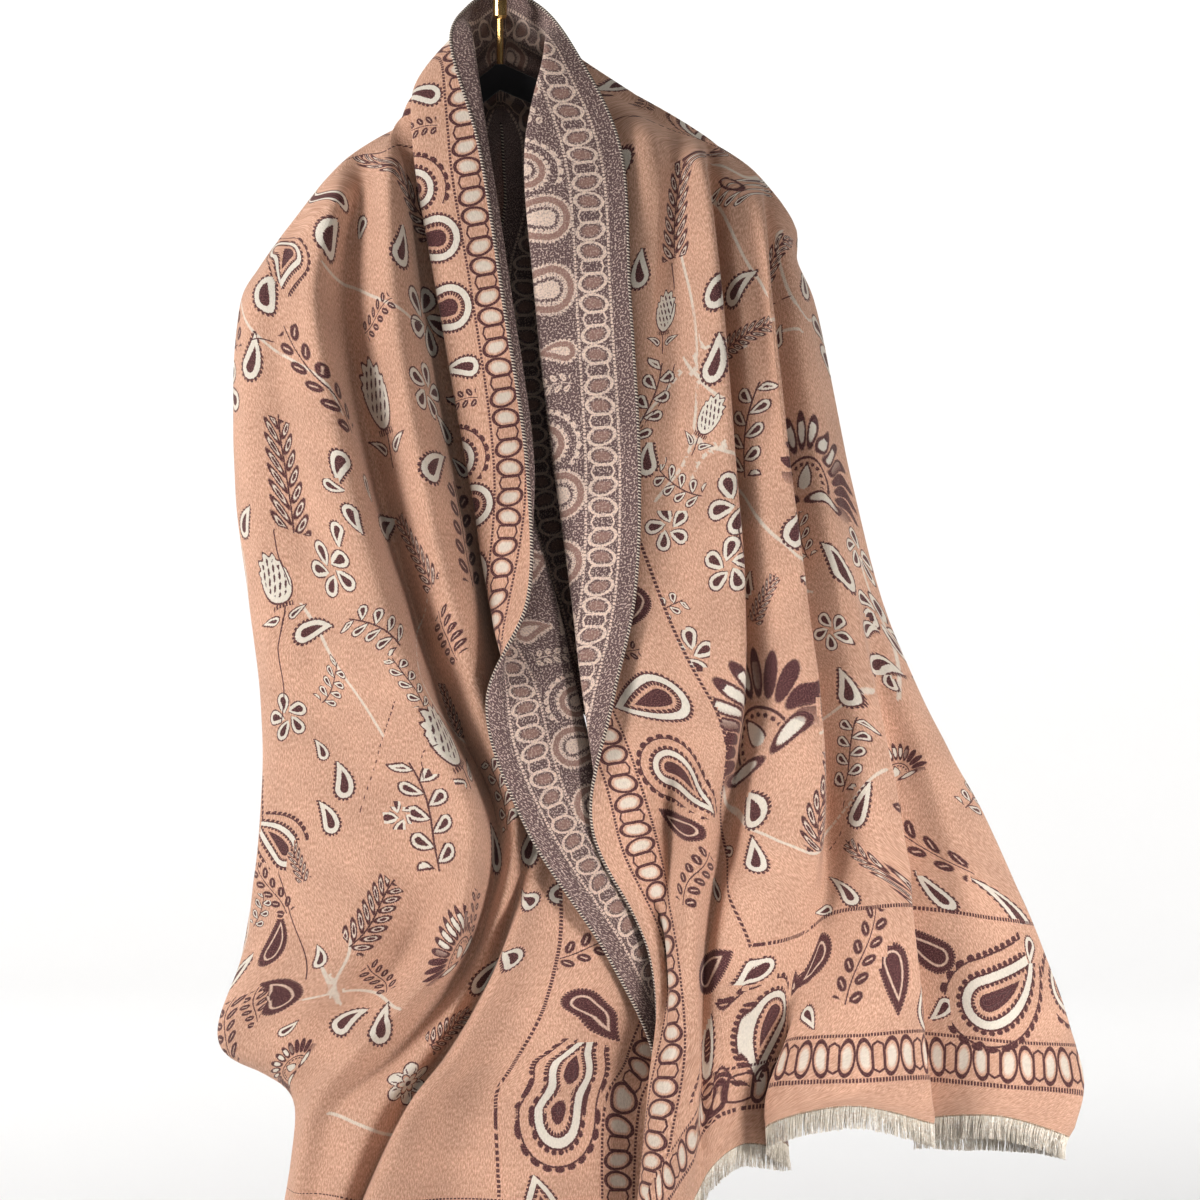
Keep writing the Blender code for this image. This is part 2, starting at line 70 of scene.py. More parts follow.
# Fold lines from the front selvage outwards, each: shoulder (x, z, forward), then (x, forward) at each
# level, then end (x, z, forward)
rightLevels = [-182, -295, -430, -520, -595, -685, -782, -880]
rightBack = [-6, -6, -6, -6, -6, -6, -6, -6, 60]
rightFolds = {
    "edge": [(58, -114, 18), (89, 38), (97, 48), (104, 54), (100, 58), (84, 60), (69, 56), (112, 57),
        (117, 60), (110, -1016, 56)],
    "roll": [(34, -109, 16), (20, 32), (28, 38), (43, 40), (54, 44), (63, 52), (80, 57), (118, 61),
        (111, 67), (98, -1016, 66)],
    "under": [(45, -122, 8), (54, 20), (64, 26), (75, 30), (80, 36), (84, 46), (98, 56), (125, 53),
        (117, 78), (105, -1010, 76)],
    "neck": [(88, -144, 2), (114, 32), (112, 40), (105, 42), (108, 48), (106, 56), (114, 50), (126, 62),
        (126, 84), (114, -1003, 82)],
    "valley1": [(126, -164, 0), (129, 20), (126, 30), (129, 42), (138, 46), (136, 56), (126, 38),
        (130, 72), (135, 80), (128, -988, 76)],
    "ridge2": [(144, -173, 4), (152, 32), (164, 50), (174, 54), (180, 58), (177, 66), (148, 64),
        (142, 80), (146, 70), (140, -968, 62)],
    "valley2": [(153, -177, 2), (156, 14), (163, 20), (172, 24), (177, 28), (182, 38), (172, 36),
        (153, 60), (149, 54), (148, -954, 50)],
    "ridge3a": [(164, -183, 4), (168, 22), (178, 36), (189, 42), (194, 46), (196, 52), (188, 60),
        (162, 70), (159, 57), (158, -938, 46)],
    "swell3": [(176, -192, 4), (183, 22), (192, 34), (204, 46), (212, 52), (217, 62), (213, 70),
        (188, 66), (178, 46), (180, -923, 38)],
    "ridge3b": [(189, -199, 4), (195, 22), (202, 40), (216, 48), (227, 50), (236, 58), (238, 58),
        (218, 57), (216, 28), (214, -926, 32)],
    "valley3": [(195, -204, 2), (198, 8), (201, 14), (214, 18), (224, 20), (234, 26), (242, 28),
        (236, 54), (201, 57), (198, -908, 57)],
    "swell4": [(206, -216, 0), (209, 8), (219, 20), (238, 30), (253, 34), (264, 38), (276, 54),
        (274, 72), (261, 82), (260, -890, 80)],
    "ridge4": [(212, -224, -2), (215, 4), (227, 12), (248, 22), (265, 28), (280, 34), (298, 46),
        (308, 60), (316, 64), (320, -905, 62)],
    "valley4": [(216, -230, -6), (218, -2), (230, 4), (254, 12), (271, 14), (284, 16), (296, 22),
        (304, 32), (312, 38), (314, -904, 38)],
    "swell5": [(219, -236, -12), (220, -10), (233, -6), (259, 2), (279, 6), (304, 14), (338, 26),
        (364, 38), (376, 48), (370, -901, 48)],
    "side": [(219, -240, -24), (221, -24), (232, -20), (262, -14), (286, -10), (318, -6), (364, 0),
        (406, 8), (434, 14), (424, -920, 16)],
}

# The same for the left half
leftLevels = [-182, -295, -430, -520, -595, -685, -782, -854, -894]
leftBack = [18, 28, 40, 55, 65, 75, 80, 80, 75, 60]
leftFolds = {
    "edge": [(-36, -100, 16), (-15, 40), (3, 50), (22, 56), (22, 62), (-8, 66), (20, 68), (81, 62),
        (114, 45), (116, 44), (111, -1014, 42)],
    "roll": [(-21, -97, 14), (-8, 36), (9, 44), (26, 50), (17, 58), (0, 69), (32, 70), (88, 61),
        (122, 37), (112, 40), (100, -1014, 42)],
    "tuck": [(-62, -134, 5), (-64, 18), (-46, 22), (-22, 24), (-8, 32), (16, 62), (48, 62), (102, 53),
        (121, 29), (102, 42), (90, -1014, 46)],
    "flap": [(-65, -146, 0), (-36, 14), (-15, 14), (15, 18), (40, 28), (58, 32), (84, 36), (120, 37),
        (106, 34), (83, 50), (75, -1012, 52)],
    "gore1": [(-64, -146, -1), (-46, 7), (-24, 4), (4, 6), (28, 15), (42, 21), (58, 28), (72, 56),
        (54, 60), (36, 64), (30, -1010, 62)],
    "gore2": [(-69, -149, -4), (-57, 5), (-39, 0), (-10, 2), (14, 8), (26, 17), (44, 32), (22, 62),
        (-9, 62), (-33, 58), (-38, -1009, 58)],
    "gore3": [(-74, -161, -4), (-64, 5), (-46, 1), (-21, 2), (2, 8), (12, 17), (32, 36), (4, 70),
        (-33, 74), (-64, 78), (-111, -1008, 76)],
    "valley2": [(-78, -165, -3), (-70, 8), (-52, 5), (-30, 7), (-9, 12), (1, 25), (22, 38), (0, 44),
        (-38, 46), (-68, 50), (-120, -1008, 50)],
    "ridge2": [(-85, -177, 3), (-82, 30), (-78, 44), (-56, 52), (-36, 55), (-14, 52), (13, 54),
        (-12, 52), (-56, 60), (-90, 62), (-130, -1006, 62)],
    "valley1": [(-102, -184, 0), (-102, 10), (-117, 8), (-91, 10), (-66, 13), (-42, 18), (-2, 28),
        (-20, 38), (-76, 48), (-118, 52), (-140, -1006, 52)],
    "ridge1": [(-116, -192, 2), (-121, 24), (-136, 45), (-109, 56), (-82, 63), (-58, 70), (-20, 72),
        (-39, 74), (-108, 64), (-136, 56), (-154, -1006, 50)],
    "swag": [(-130, -206, 2), (-138, 19), (-150, 36), (-130, 48), (-111, 54), (-92, 58), (-54, 57),
        (-70, 46), (-136, 44), (-147, 40), (-162, -1004, 36)],
    "swell0": [(-144, -223, 0), (-153, 12), (-165, 24), (-152, 28), (-142, 31), (-132, 36), (-104, 50),
        (-114, 58), (-162, 36), (-152, 27), (-167, -1004, 20)],
    "hollow": [(-154, -236, -4), (-168, 8), (-178, 18), (-173, 24), (-164, 26), (-157, 30), (-141, 36),
        (-156, 44), (-183, 22), (-154, 14), (-168, -1004, 8)],
    "swell00": [(-161, -245, -10), (-177, -4), (-187, 8), (-187, 14), (-177, 17), (-171, 19),
        (-164, 20), (-178, 28), (-200, 8), (-154, 2), (-169, -1004, -2)],
    "side": [(-163, -249, -22), (-182, -20), (-193, -18), (-198, -14), (-189, -10), (-178, -6),
        (-178, 0), (-190, 6), (-209, -8), (-152, -14), (-167, -1004, -14)],
}

# Where the cloth passes beside the neck: share of the width, x, y, z
rightNeck = [
    (0.000, 32, 12, -76),
    (0.095, 33, 13, -92),
    (0.190, 54, 15, -110),
    (0.430, 88, 19, -142),
    (0.620, 106, 23, -170),
    (0.714, 106, 29, -182),
    (0.810, 84, 34, -190),
    (1.000, 2, 33, -186),
]
leftNeck = [
    (0.000, -24, 12, -74),
    (0.095, -25, 13, -88),
    (0.190, -32, 15, -110),
    (0.330, -42, 20, -139),
    (0.430, -52, 21, -151),
    (0.620, -78, 26, -178),
    (0.714, -80, 32, -190),
    (0.810, -66, 38, -196),
    (1.000, 6, 40, -188),
]

halves = [
    {"name": "right", "side": 1, "folds": rightFolds, "levels": rightLevels, "neck": rightNeck,
     "back": rightBack, "depth": 42.0, "topEdge": 3.0},
    {"name": "left", "side": -1, "folds": leftFolds, "levels": leftLevels, "neck": leftNeck,
     "back": leftBack, "depth": 60.0, "topEdge": 14.0},
]


def runAlong(line):
    # length of a line of points up to each of them
    return np.concatenate([[0.0], np.cumsum(np.linalg.norm(np.diff(line, axis=0), axis=1))])


def unit(vectors):
    return vectors / np.maximum(np.linalg.norm(vectors, axis=-1, keepdims=True), 1e-9)


def smoothLine(points, steps):
    # centripetal Catmull-Rom curve through the points
    points = np.asarray(points, float)
    ends = [2 * points[0] - points[1]], [2 * points[-1] - points[-2]]
    held = np.concatenate([ends[0], points, ends[1]])
    knots = np.maximum(np.linalg.norm(np.diff(held, axis=0), axis=1), 1e-6) ** 0.5
    share = (np.arange(steps) / steps)[:, None]
    spans = []
    for i in range(len(points) - 1):
        p0, p1, p2, p3 = held[i:i + 4]
        t1 = knots[i]
        t2 = t1 + knots[i + 1]
        t3 = t2 + knots[i + 2]
        t = t1 + share * (t2 - t1)
        a1 = (t1 - t) / t1 * p0 + t / t1 * p1
        a2 = (t2 - t) / (t2 - t1) * p1 + (t - t1) / (t2 - t1) * p2
        a3 = (t3 - t) / (t3 - t2) * p2 + (t - t2) / (t3 - t2) * p3
        b1 = (t2 - t) / t2 * a1 + t / t2 * a2
        b2 = (t3 - t) / (t3 - t1) * a2 + (t - t1) / (t3 - t1) * a3
        spans.append((t2 - t) / (t2 - t1) * b1 + (t - t1) / (t2 - t1) * b2)
    spans.append(points[-1:])
    return np.concatenate(spans)


def frontLines(folds, levels):
    lines = []
    for shoulder, *cells, end in folds.values():
        x, z, forward = shoulder
        line = [(x, -forward, z)]
        for step, (level, (x, forward)) in enumerate(zip(levels, cells)):
            highest = shoulder[1] - sheet["levelStart"] - sheet["levelStep"] * step
            line.append((x, -forward, min(level, highest)))
        x, z, forward = end
        line.append((x, -forward, z))
        lines.append(line)
    return np.array(lines, float)


def backLines(front, topEdge, outerEdge, depth, side):
    # the rest of the width goes round the side and hangs behind
    count = sheet["backLines"]
    stations = front.shape[1]
    back = np.zeros((count, stations, 3))
    order = (np.arange(count) + 1) / count
    wave = np.where(np.arange(count) % 2 == 0, 1.0, -1.0)
    start, short, ripple = sheet["topDepth"]
    drop, rise = sheet["topRise"]
    x, y, z = front[-1, 0]
    back[:, 0, 0] = x + (topEdge - x) * order
    back[:, 0, 1] = y + start + (depth - y - short) * order + ripple * wave
    back[:, 0, 2] = z - drop + rise * order
    for j in range(1, stations):
        x, y, z = front[-1, j]
        row = smoothLine(front[:, j], sheet["lineSteps"])
        used = np.linalg.norm(np.diff(row, axis=0), axis=1).sum()
        least, most = sheet["turnLimits"]
        turn = min(max(depth - y, least), most)
        rest = max(sheet["width"] - used - turn, sheet["restLeast"])
        reach = min(sheet["reachShare"] * rest, side * (x - outerEdge[j - 1]))
        pleat = 0.5 * math.sqrt(max(rest ** 2 - reach ** 2, 0.0)) / count
        back[:, j, 0] = x - side * reach * order
        back[:, j, 1] = y + turn * np.minimum(1.0, 4.0 * order) + min(pleat, sheet["pleatMost"]) * wave
        back[:, j, 2] = z
    return back


def gather(count, depth):
    return depth * np.sin(np.arange(count) * math.pi / 2)


def foldLines(half):
    side = half["side"]
    front = frontLines(half["folds"], half["levels"])
    back = backLines(front, half["topEdge"], half["back"], half["depth"], side)
    lines = np.concatenate([front, back])
    count = len(lines)
    share = np.arange(count) / (count - 1)
    nape = np.zeros((count, 3))
    nape[:, 1] = sheet["napeDepth"] + sheet["napeBow"] * np.sin(math.pi * share)
    nape[:, 1] += gather(count, sheet["napeGather"]) * np.minimum(1.0, 4.0 * share + 0.15)
    nape[:, 2] = sheet["napeTop"] - sheet["napeDrop"] * share
    beside = nape.copy()
    narrowing = sheet["seamStraightEdge"] - sheet["seamStraight"]
    beside[:, 0] = side * (sheet["seamStraight"] + narrowing * share ** 6)
    at, x, y, z = np.array(half["neck"]).T
    neck = np.zeros((count, 3))
    neck[:, 0] = np.interp(share, at, x)
    neck[:, 1] = np.interp(share, at, y) + gather(count, sheet["neckGather"])
    neck[:, 2] = np.interp(share, at, z)
    return np.concatenate([np.stack([nape, beside, neck], axis=1), lines], axis=1)


def clothGrid(half):
    # points of one half, row by row from the nape down, in millimetres
    lines = foldLines(half)
    columns = np.array([smoothLine(line, sheet["downSteps"][half["name"]]) for line in lines])
    rows = [smoothLine(columns[:, j], sheet["acrossSteps"]) for j in range(columns.shape[1])]
    return np.array(rows) - (0.0, sheet["hangForward"], 0.0)


def outward(grid, side):
    down = np.gradient(grid, axis=0)
    across = np.gradient(grid, axis=1)
    return unit(side * np.cross(down, across))


def clothPlaces(grid):
    # where each point lies on the flat sheet: s from the front selvage, t from the nape
    steps = np.linalg.norm(np.diff(grid, axis=1), axis=2)
    arc = np.concatenate([np.zeros((len(grid), 1)), np.cumsum(steps, axis=1)], axis=1)
    total = arc[:, -1:]
    s = arc + (sheet["width"] - total) * (arc / total) ** 2
    falls = np.linalg.norm(np.diff(grid, axis=0), axis=2)
    fall = np.concatenate([np.zeros((1, grid.shape[1])), np.cumsum(falls, axis=0)])
    t = fall / fall[-1:] * sheet["halfLength"]
    return s, t


def squareFrom(edge, inward):
    # depth and place along, measured square from an edge, for rows of points that leave it
    depth = np.zeros(inward.shape[:2])
    along = np.zeros(inward.shape[:2])
    along[0] = runAlong(edge)
    for k in range(1, len(inward)):
        line = unit(np.gradient(inward[k - 1], axis=0))
        step = inward[k] - inward[k - 1]
        slide = (step * line).sum(axis=1)
        square = np.sqrt(np.maximum((step * step).sum(axis=1) - slide ** 2, 0.0))
        depth[k] = depth[k - 1] + square
        along[k] = along[k - 1] + slide
    return depth, along


def evened(rows, reach):
    # each row of numbers averaged over its neighbours, so that borders run straight
    out = np.empty_like(rows)
    for i in range(rows.shape[1]):
        room = min(reach, i, rows.shape[1] - 1 - i)
        out[:, i] = rows[:, i - room:i + room + 1].mean(axis=1)
    return out


def borderMaps(grid):
    # the same for both selvages and the fringed end: front, outer, end
    front = squareFrom(grid[:, 0], grid.transpose(1, 0, 2))
    outer = squareFrom(grid[:, -1], grid[:, ::-1].transpose(1, 0, 2))
    end = squareFrom(grid[-1], grid[::-1])
    front, outer, end = [(evened(depth, 12), along) for depth, along in (front, outer, end)]
    return ((front[0].T, front[1].T), (outer[0].T[:, ::-1], outer[1].T[:, ::-1]),
            (end[0][::-1], end[1][::-1]))


# Uneven soft undulation of the brushed cloth between its folds
softness = {
    "height": 1.1,
    "cells": ((34.0, 120.0, 1.0), (15.0, 46.0, 0.38), (90.0, 260.0, 1.6)),
    "roomS": 760,
    "roomT": 1080,
    "napeEnd": 140.0,
    "napeRun": 200.0,
    "edgeRun": 30.0,
    "edgeLeast": 0.15,
    "hemRun": 8.0,
    "frontTurn": 1.6,
    "frontWidth": 560.0,
    "seed": 7,
}


def softNoise(s, t, cellS, cellT, chance):
    # smooth random heights on a lattice of cells
    shape = (int(softness["roomS"] / cellS) + 3, int(softness["roomT"] / cellT) + 3)
    lattice = chance.uniform(-1.0, 1.0, shape)
    u = np.clip(s / cellS, 0, lattice.shape[0] - 2.001)
    v = np.clip(t / cellT, 0, lattice.shape[1] - 2.001)
    i = u.astype(int)
    j = v.astype(int)
    fu = u - i
    fv = v - j
    fu = fu * fu * (3 - 2 * fu)
    fv = fv * fv * (3 - 2 * fv)
    low = lattice[i, j] * (1 - fu) + lattice[i + 1, j] * fu
    high = lattice[i, j + 1] * (1 - fu) + lattice[i + 1, j + 1] * fu
    return low * (1 - fv) + high * fv


# Creases, listed one by one: half, points (x, z), height (below 0 is a trough), breadth, in millimetres
creases = [
    ("right", [(120, -175), (112, -260), (109, -330)], -2.6, 6.0),
    ("right", [(150, -190), (160, -300), (168, -420)], 1.6, 8.0),
    ("right", [(176, -205), (196, -330), (214, -470), (226, -590)], -1.8, 9.0),
    ("right", [(232, -420), (262, -520), (290, -640), (318, -760)], 1.6, 12.0),
    ("right", [(246, -500), (284, -600), (322, -700), (362, -800)], -2.0, 10.0),
    ("right", [(150, -560), (163, -640), (160, -720), (150, -800)], -2.2, 7.0),
    ("right", [(170, -640), (196, -720), (214, -800), (222, -860)], 1.5, 9.0),
    ("right", [(92, -600), (86, -680), (100, -770), (108, -840)], -1.6, 6.0),
    ("right", [(330, -790), (352, -850), (366, -900)], -1.6, 9.0),
    ("right", [(268, -760), (282, -830), (288, -885)], 1.4, 8.0),
    ("left", [(-70, -170), (-58, -280), (-40, -380), (-22, -470)], -2.4, 7.0),
    ("left", [(-128, -355), (-100, -440), (-74, -530), (-56, -600)], -2.2, 8.0),
    ("left", [(-150, -330), (-156, -430), (-150, -520), (-138, -620)], 1.6, 10.0),
    ("left", [(-112, -240), (-118, -330), (-108, -420)], 1.5, 8.0),
    ("left", [(-45, -775), (-80, -815), (-125, -860), (-145, -885)], -3.0, 8.0),
    ("left", [(-20, -745), (-60, -790), (-100, -822), (-150, -845)], 2.0, 9.0),
    ("left", [(0, -808), (-38, -850), (-70, -905), (-92, -970)], -2.6, 7.0),
    ("left", [(0, -850), (-30, -890), (-52, -940), (-62, -990)], 2.0, 7.0),
    ("left", [(-168, -600), (-176, -680), (-182, -750)], 1.4, 10.0),
    ("left", [(-120, -640), (-140, -700), (-160, -740), (-178, -760)], -1.8, 9.0),
    ("left", [(-30, -560), (-30, -620), (-40, -680)], -1.8, 7.0),
    ("left", [(-100, -620), (-92, -690), (-98, -745)], 1.4, 8.0),
]


def creaseHeights(x, z, name):
    height = np.zeros_like(x)
    for half, points, depth, breadth in creases:
        if half != name:
            continue
        line = smoothLine(np.array([(a, 0.0, c) for a, c in points]), 6)[:, [0, 2]]
        nearest = np.full(x.shape, 1e9)
        along = np.zeros_like(x)
        for k in range(len(line) - 1):
            a = line[k]
            step = line[k + 1] - a
            share = ((x - a[0]) * step[0] + (z - a[1]) * step[1]) / (step @ step)
            share = np.clip(share, 0.0, 1.0)
            gap = np.hypot(x - a[0] - share * step[0], z - a[1] - share * step[1])
            closer = gap < nearest
            nearest = np.where(closer, gap, nearest)
            along = np.where(closer, (k + share) / (len(line) - 1), along)
        fade = np.sin(math.pi * np.clip(along, 0.0, 1.0)) ** 0.7
        height += depth * fade * np.exp(-(nearest / breadth) ** 2)
    return height


def shapedGrid(half):
    # the lofted half with its creases and softness
    grid = clothGrid(half)
    s, t = clothPlaces(grid)
    normal = outward(grid, half["side"])
    chance = np.random.default_rng(softness["seed"] + half["side"])
    loose = np.clip((t - softness["napeEnd"]) / softness["napeRun"], 0.0, 1.0)
    loose *= np.clip(s / softness["edgeRun"], softness["edgeLeast"], 1.0)
    height = sum(share * softNoise(s, t, cellS, cellT, chance)
                 for cellS, cellT, share in softness["cells"])
    height *= softness["height"] * loose
    toFront = np.clip(-normal[..., 1] * softness["frontTurn"], 0.0, 1.0)
    toFront *= s < softness["frontWidth"]
    height += creaseHeights(grid[..., 0], grid[..., 2], half["name"]) * toFront
    hem = np.clip((sheet["halfLength"] - t) / softness["hemRun"], 0.0, 1.0)
    return grid + normal * (height * hem)[..., None], s, t


def link(name, data, materials):
    piece = bpy.data.objects.new(name, data)
    bpy.context.scene.collection.objects.link(piece)
    for material in materials:
        data.materials.append(material)
    return piece


def gridFaces(rows, across, flip):
    i, j = np.meshgrid(np.arange(rows - 1), np.arange(across - 1), indexing="ij")
    corner = (i * across + j).ravel()
    faces = np.stack([corner, corner + across, corner + across + 1, corner + 1], axis=1)
    return faces[:, ::-1] if flip else faces


def meshFrom(name, points, faces):
    mesh = bpy.data.meshes.new(name)
    count = faces.shape[1]
    mesh.vertices.add(len(points))
    mesh.vertices.foreach_set("co", np.asarray(points, np.float32).ravel())
    mesh.loops.add(faces.size)
    mesh.loops.foreach_set("vertex_index", faces.ravel().astype(np.int32))
    mesh.polygons.add(len(faces))
    mesh.polygons.foreach_set("loop_start", np.arange(0, faces.size, count, dtype=np.int32))
    mesh.update(calc_edges=True)
    mesh.shade_smooth()
    return mesh


def layFlatMap(mesh, faces, s, t):
    flat = mesh.uv_layers.new(name="OFBake")
    corners = np.stack([s.ravel() / sheet["width"], 1.0 - t.ravel() / sheet["halfLength"]], axis=1)
    flat.data.foreach_set("uv", corners[faces.ravel()].astype(np.float32).ravel())


def makeLayer(name, grid, s, t, maps, side, lift, material, half):
    # one face of the double cloth, as an open sheet half a wall out from the middle
    points = grid + outward(grid, side) * lift
    rows, across, _ = grid.shape
    faces = gridFaces(rows, across, (side < 0) != (lift < 0))
    mesh = meshFrom(name, points.reshape(-1, 3) * mm, faces)
    layFlatMap(mesh, faces, s, t)
    layPattern(mesh, faces, s, t, maps, half)
    return link(name, mesh, [material])


# Overlocked cord along each selvage, and the thin thread above each fringe
cords = {
    "selvage": {"radius": 1.35, "sides": 6, "pitch": 2.4, "leaning": (0.0, 1.0, 0.25),
                "dark": (0.06, 0.03, 0.035), "pale": (0.72, 0.63, 0.52), "darkShare": 0.2},
    "hem": {"radius": 1.05, "sides": 6, "pitch": 1.6, "leaning": (0.0, 1.0, 0.25),
            "dark": (0.22, 0.15, 0.10), "pale": (0.45, 0.34, 0.24), "darkShare": 0.25},
}


def ringFaces(rings, sides):
    # ring and side numbers, and the faces between rings that follow one another
    i, j = np.meshgrid(np.arange(rings - 1), np.arange(sides), indexing="ij")
    i = i.ravel()
    j = j.ravel()
    here = i * sides
    after = (j + 1) % sides
    return i, j, np.stack([here + j, here + after, here + sides + after, here + sides + j], axis=1)


def tube(name, line, cord, material):
    # a cord along a line of points; its map runs round it and along it
    sides = cord["sides"]
    forward = unit(np.gradient(line, axis=0))
    first = unit(np.cross(forward, cord["leaning"]))
    second = np.cross(forward, first)
    turn = np.arange(sides) / sides * 2 * math.pi
    ring = first[:, None] * np.cos(turn)[:, None] + second[:, None] * np.sin(turn)[:, None]
    points = line[:, None] + cord["radius"] * ring
    i, j, faces = ringFaces(len(line), sides)
    mesh = meshFrom(name, points.reshape(-1, 3) * mm, faces)
    run = runAlong(line)
    wrap = mesh.uv_layers.new(name="OFBake")
    u = np.stack([j, j + 1, j + 1, j], axis=1) / sides
    v = np.stack([run[i], run[i], run[i + 1], run[i + 1]], axis=1) / cord["pitch"]
    wrap.data.foreach_set("uv", np.stack([u, v], axis=2).astype(np.float32).ravel())
    return link(name, mesh, [material])


# Loose warp threads at each end
fringe = {
    "threads": 2600,
    "length": 18.5,
    "unevenness": 0.45,
    "radius": 0.42,
    "clump": 12,
    "lean": 0.4,
    "placing": 0.35,
    "clumpPull": 0.05,
    "swayLoose": 0.5,
    "swing": 0.8,
    "swingLoose": 0.6,
    "bends": (1.6, 1.5),
    "droop": 0.6,
    "wave": (7.0, 1.9, 0.25),
    "taper": 0.55,
    "rootUp": 0.8,
    "rootDepth": 0.7,
    "rings": 5,
    "sides": 3,
    "cornerTurn": 0.7,
    "seed": 21,
}


def makeFringe(name, grid, material):
    chance = np.random.default_rng(fringe["seed"])
    hem = grid[-1]
    down = unit(grid[-1] - grid[-3])
    through = unit(np.cross(np.gradient(hem, axis=0), down))
    arc = runAlong(hem)
    count = fringe["threads"]
    order = np.arange(count)
    at = order + chance.uniform(-fringe["placing"], fringe["placing"], count) + 0.5
    at *= arc[-1] / count

    def along(values):
        return np.stack([np.interp(at, arc, values[:, k]) for k in range(3)], axis=1)

    root = along(hem)
    fall = along(down)
    across = unit(along(np.gradient(hem, axis=0)))
    depth = along(through)
    clump = order // fringe["clump"]
    middle = (clump + 0.5) * fringe["clump"] - order

    def eachClump():
        return np.repeat(chance.normal(0.0, 1.0, clump[-1] + 1), fringe["clump"])[:count]

    sway = eachClump() * fringe["lean"] + middle * fringe["clumpPull"]
    sway = sway + chance.normal(0.0, fringe["swayLoose"], count)
    swing = eachClump() * fringe["swing"] + chance.normal(0.0, fringe["swingLoose"], count)
    length = fringe["length"] + chance.normal(0.0, 0.5, count) * fringe["unevenness"]
    inCloth = chance.uniform(-fringe["rootDepth"], fringe["rootDepth"], count)
    start = root - fall * fringe["rootUp"] + depth * inCloth[:, None]
    heavy = np.array((0.0, 0.0, -1.0))
    rings = fringe["rings"]
    sides = fringe["sides"]
    swayBend, swingBend = fringe["bends"]
    waves, shift, height = fringe["wave"]
    points = []
    for k in range(rings):
        share = k / (rings - 1)
        droop = fringe["droop"] * share
        centre = start + (fall * (1 - droop) + heavy * droop) * (length * share)[:, None]
        centre = centre + across * (sway * share ** swayBend)[:, None]
        centre = centre + depth * (swing * share ** swingBend)[:, None]
        wave = np.sin(share * waves + order * shift) * height * share
        centre = centre + across * wave[:, None]
        radius = fringe["radius"] * (1.0 - fringe["taper"] * share)
        for corner in range(sides):
            angle = corner * 2 * math.pi / sides + fringe["cornerTurn"]
            points.append(centre + across * radius * math.cos(angle) + depth * radius * math.sin(angle))
    points = np.stack(points, axis=1)
    base = order[:, None] * rings * sides
    faces = np.concatenate([base + row for row in ringFaces(rings, sides)[2]])
    return link(name, meshFrom(name, points.reshape(-1, 3) * mm, faces), [material])


# The woven pattern. Borders are measured inward from the selvages and the fringed ends.
pattern = {
    "coinBand": (15.0, 39.0),
    "coinPair": 38.0,
    "endNarrowing": 1.19,
    "paisleyBand": 117.0,
    "endStops": {"right": (0.0, 30.0, 62.0, 156.0), "left": (0.0, 10.0, 34.0, 46.0)},
    "borderStops": (0.0, 15.0, 39.0, 117.0),
    "borderRepeat": 206.0,
    "lineReach": 60.0,
    "borderStart": 20.0,
    "borderRoom": 0.7,
    "fieldCell": 50.0,
    "fieldStart": (128.0, 18.0),
    "fieldRun": (466, 844),
    "fieldEdges": (119, 581, 842),
    "fieldLoose": 9,
    "fieldTurn": 55,
    "fieldSizes": (1.0, 1.35),
    "seed": 5,
}

# The number that the shader knows each motif by, and its reach from its middle in millimetres
motifs = {
    "paisley": (1, 43.0),
    "plumDrop": (2, 31.0),
    "ivoryDrop": (3, 17.0),
    "sprig": (4, 34.0),
    "fern": (5, 37.0),
    "bud": (6, 34.0),
    "fan": (7, 36.0),
    "flower": (8, 20.0),
    "branch": (9, 34.0),
    "cluster": (10, 23.0),
    "ring": (11, 34.0),
}

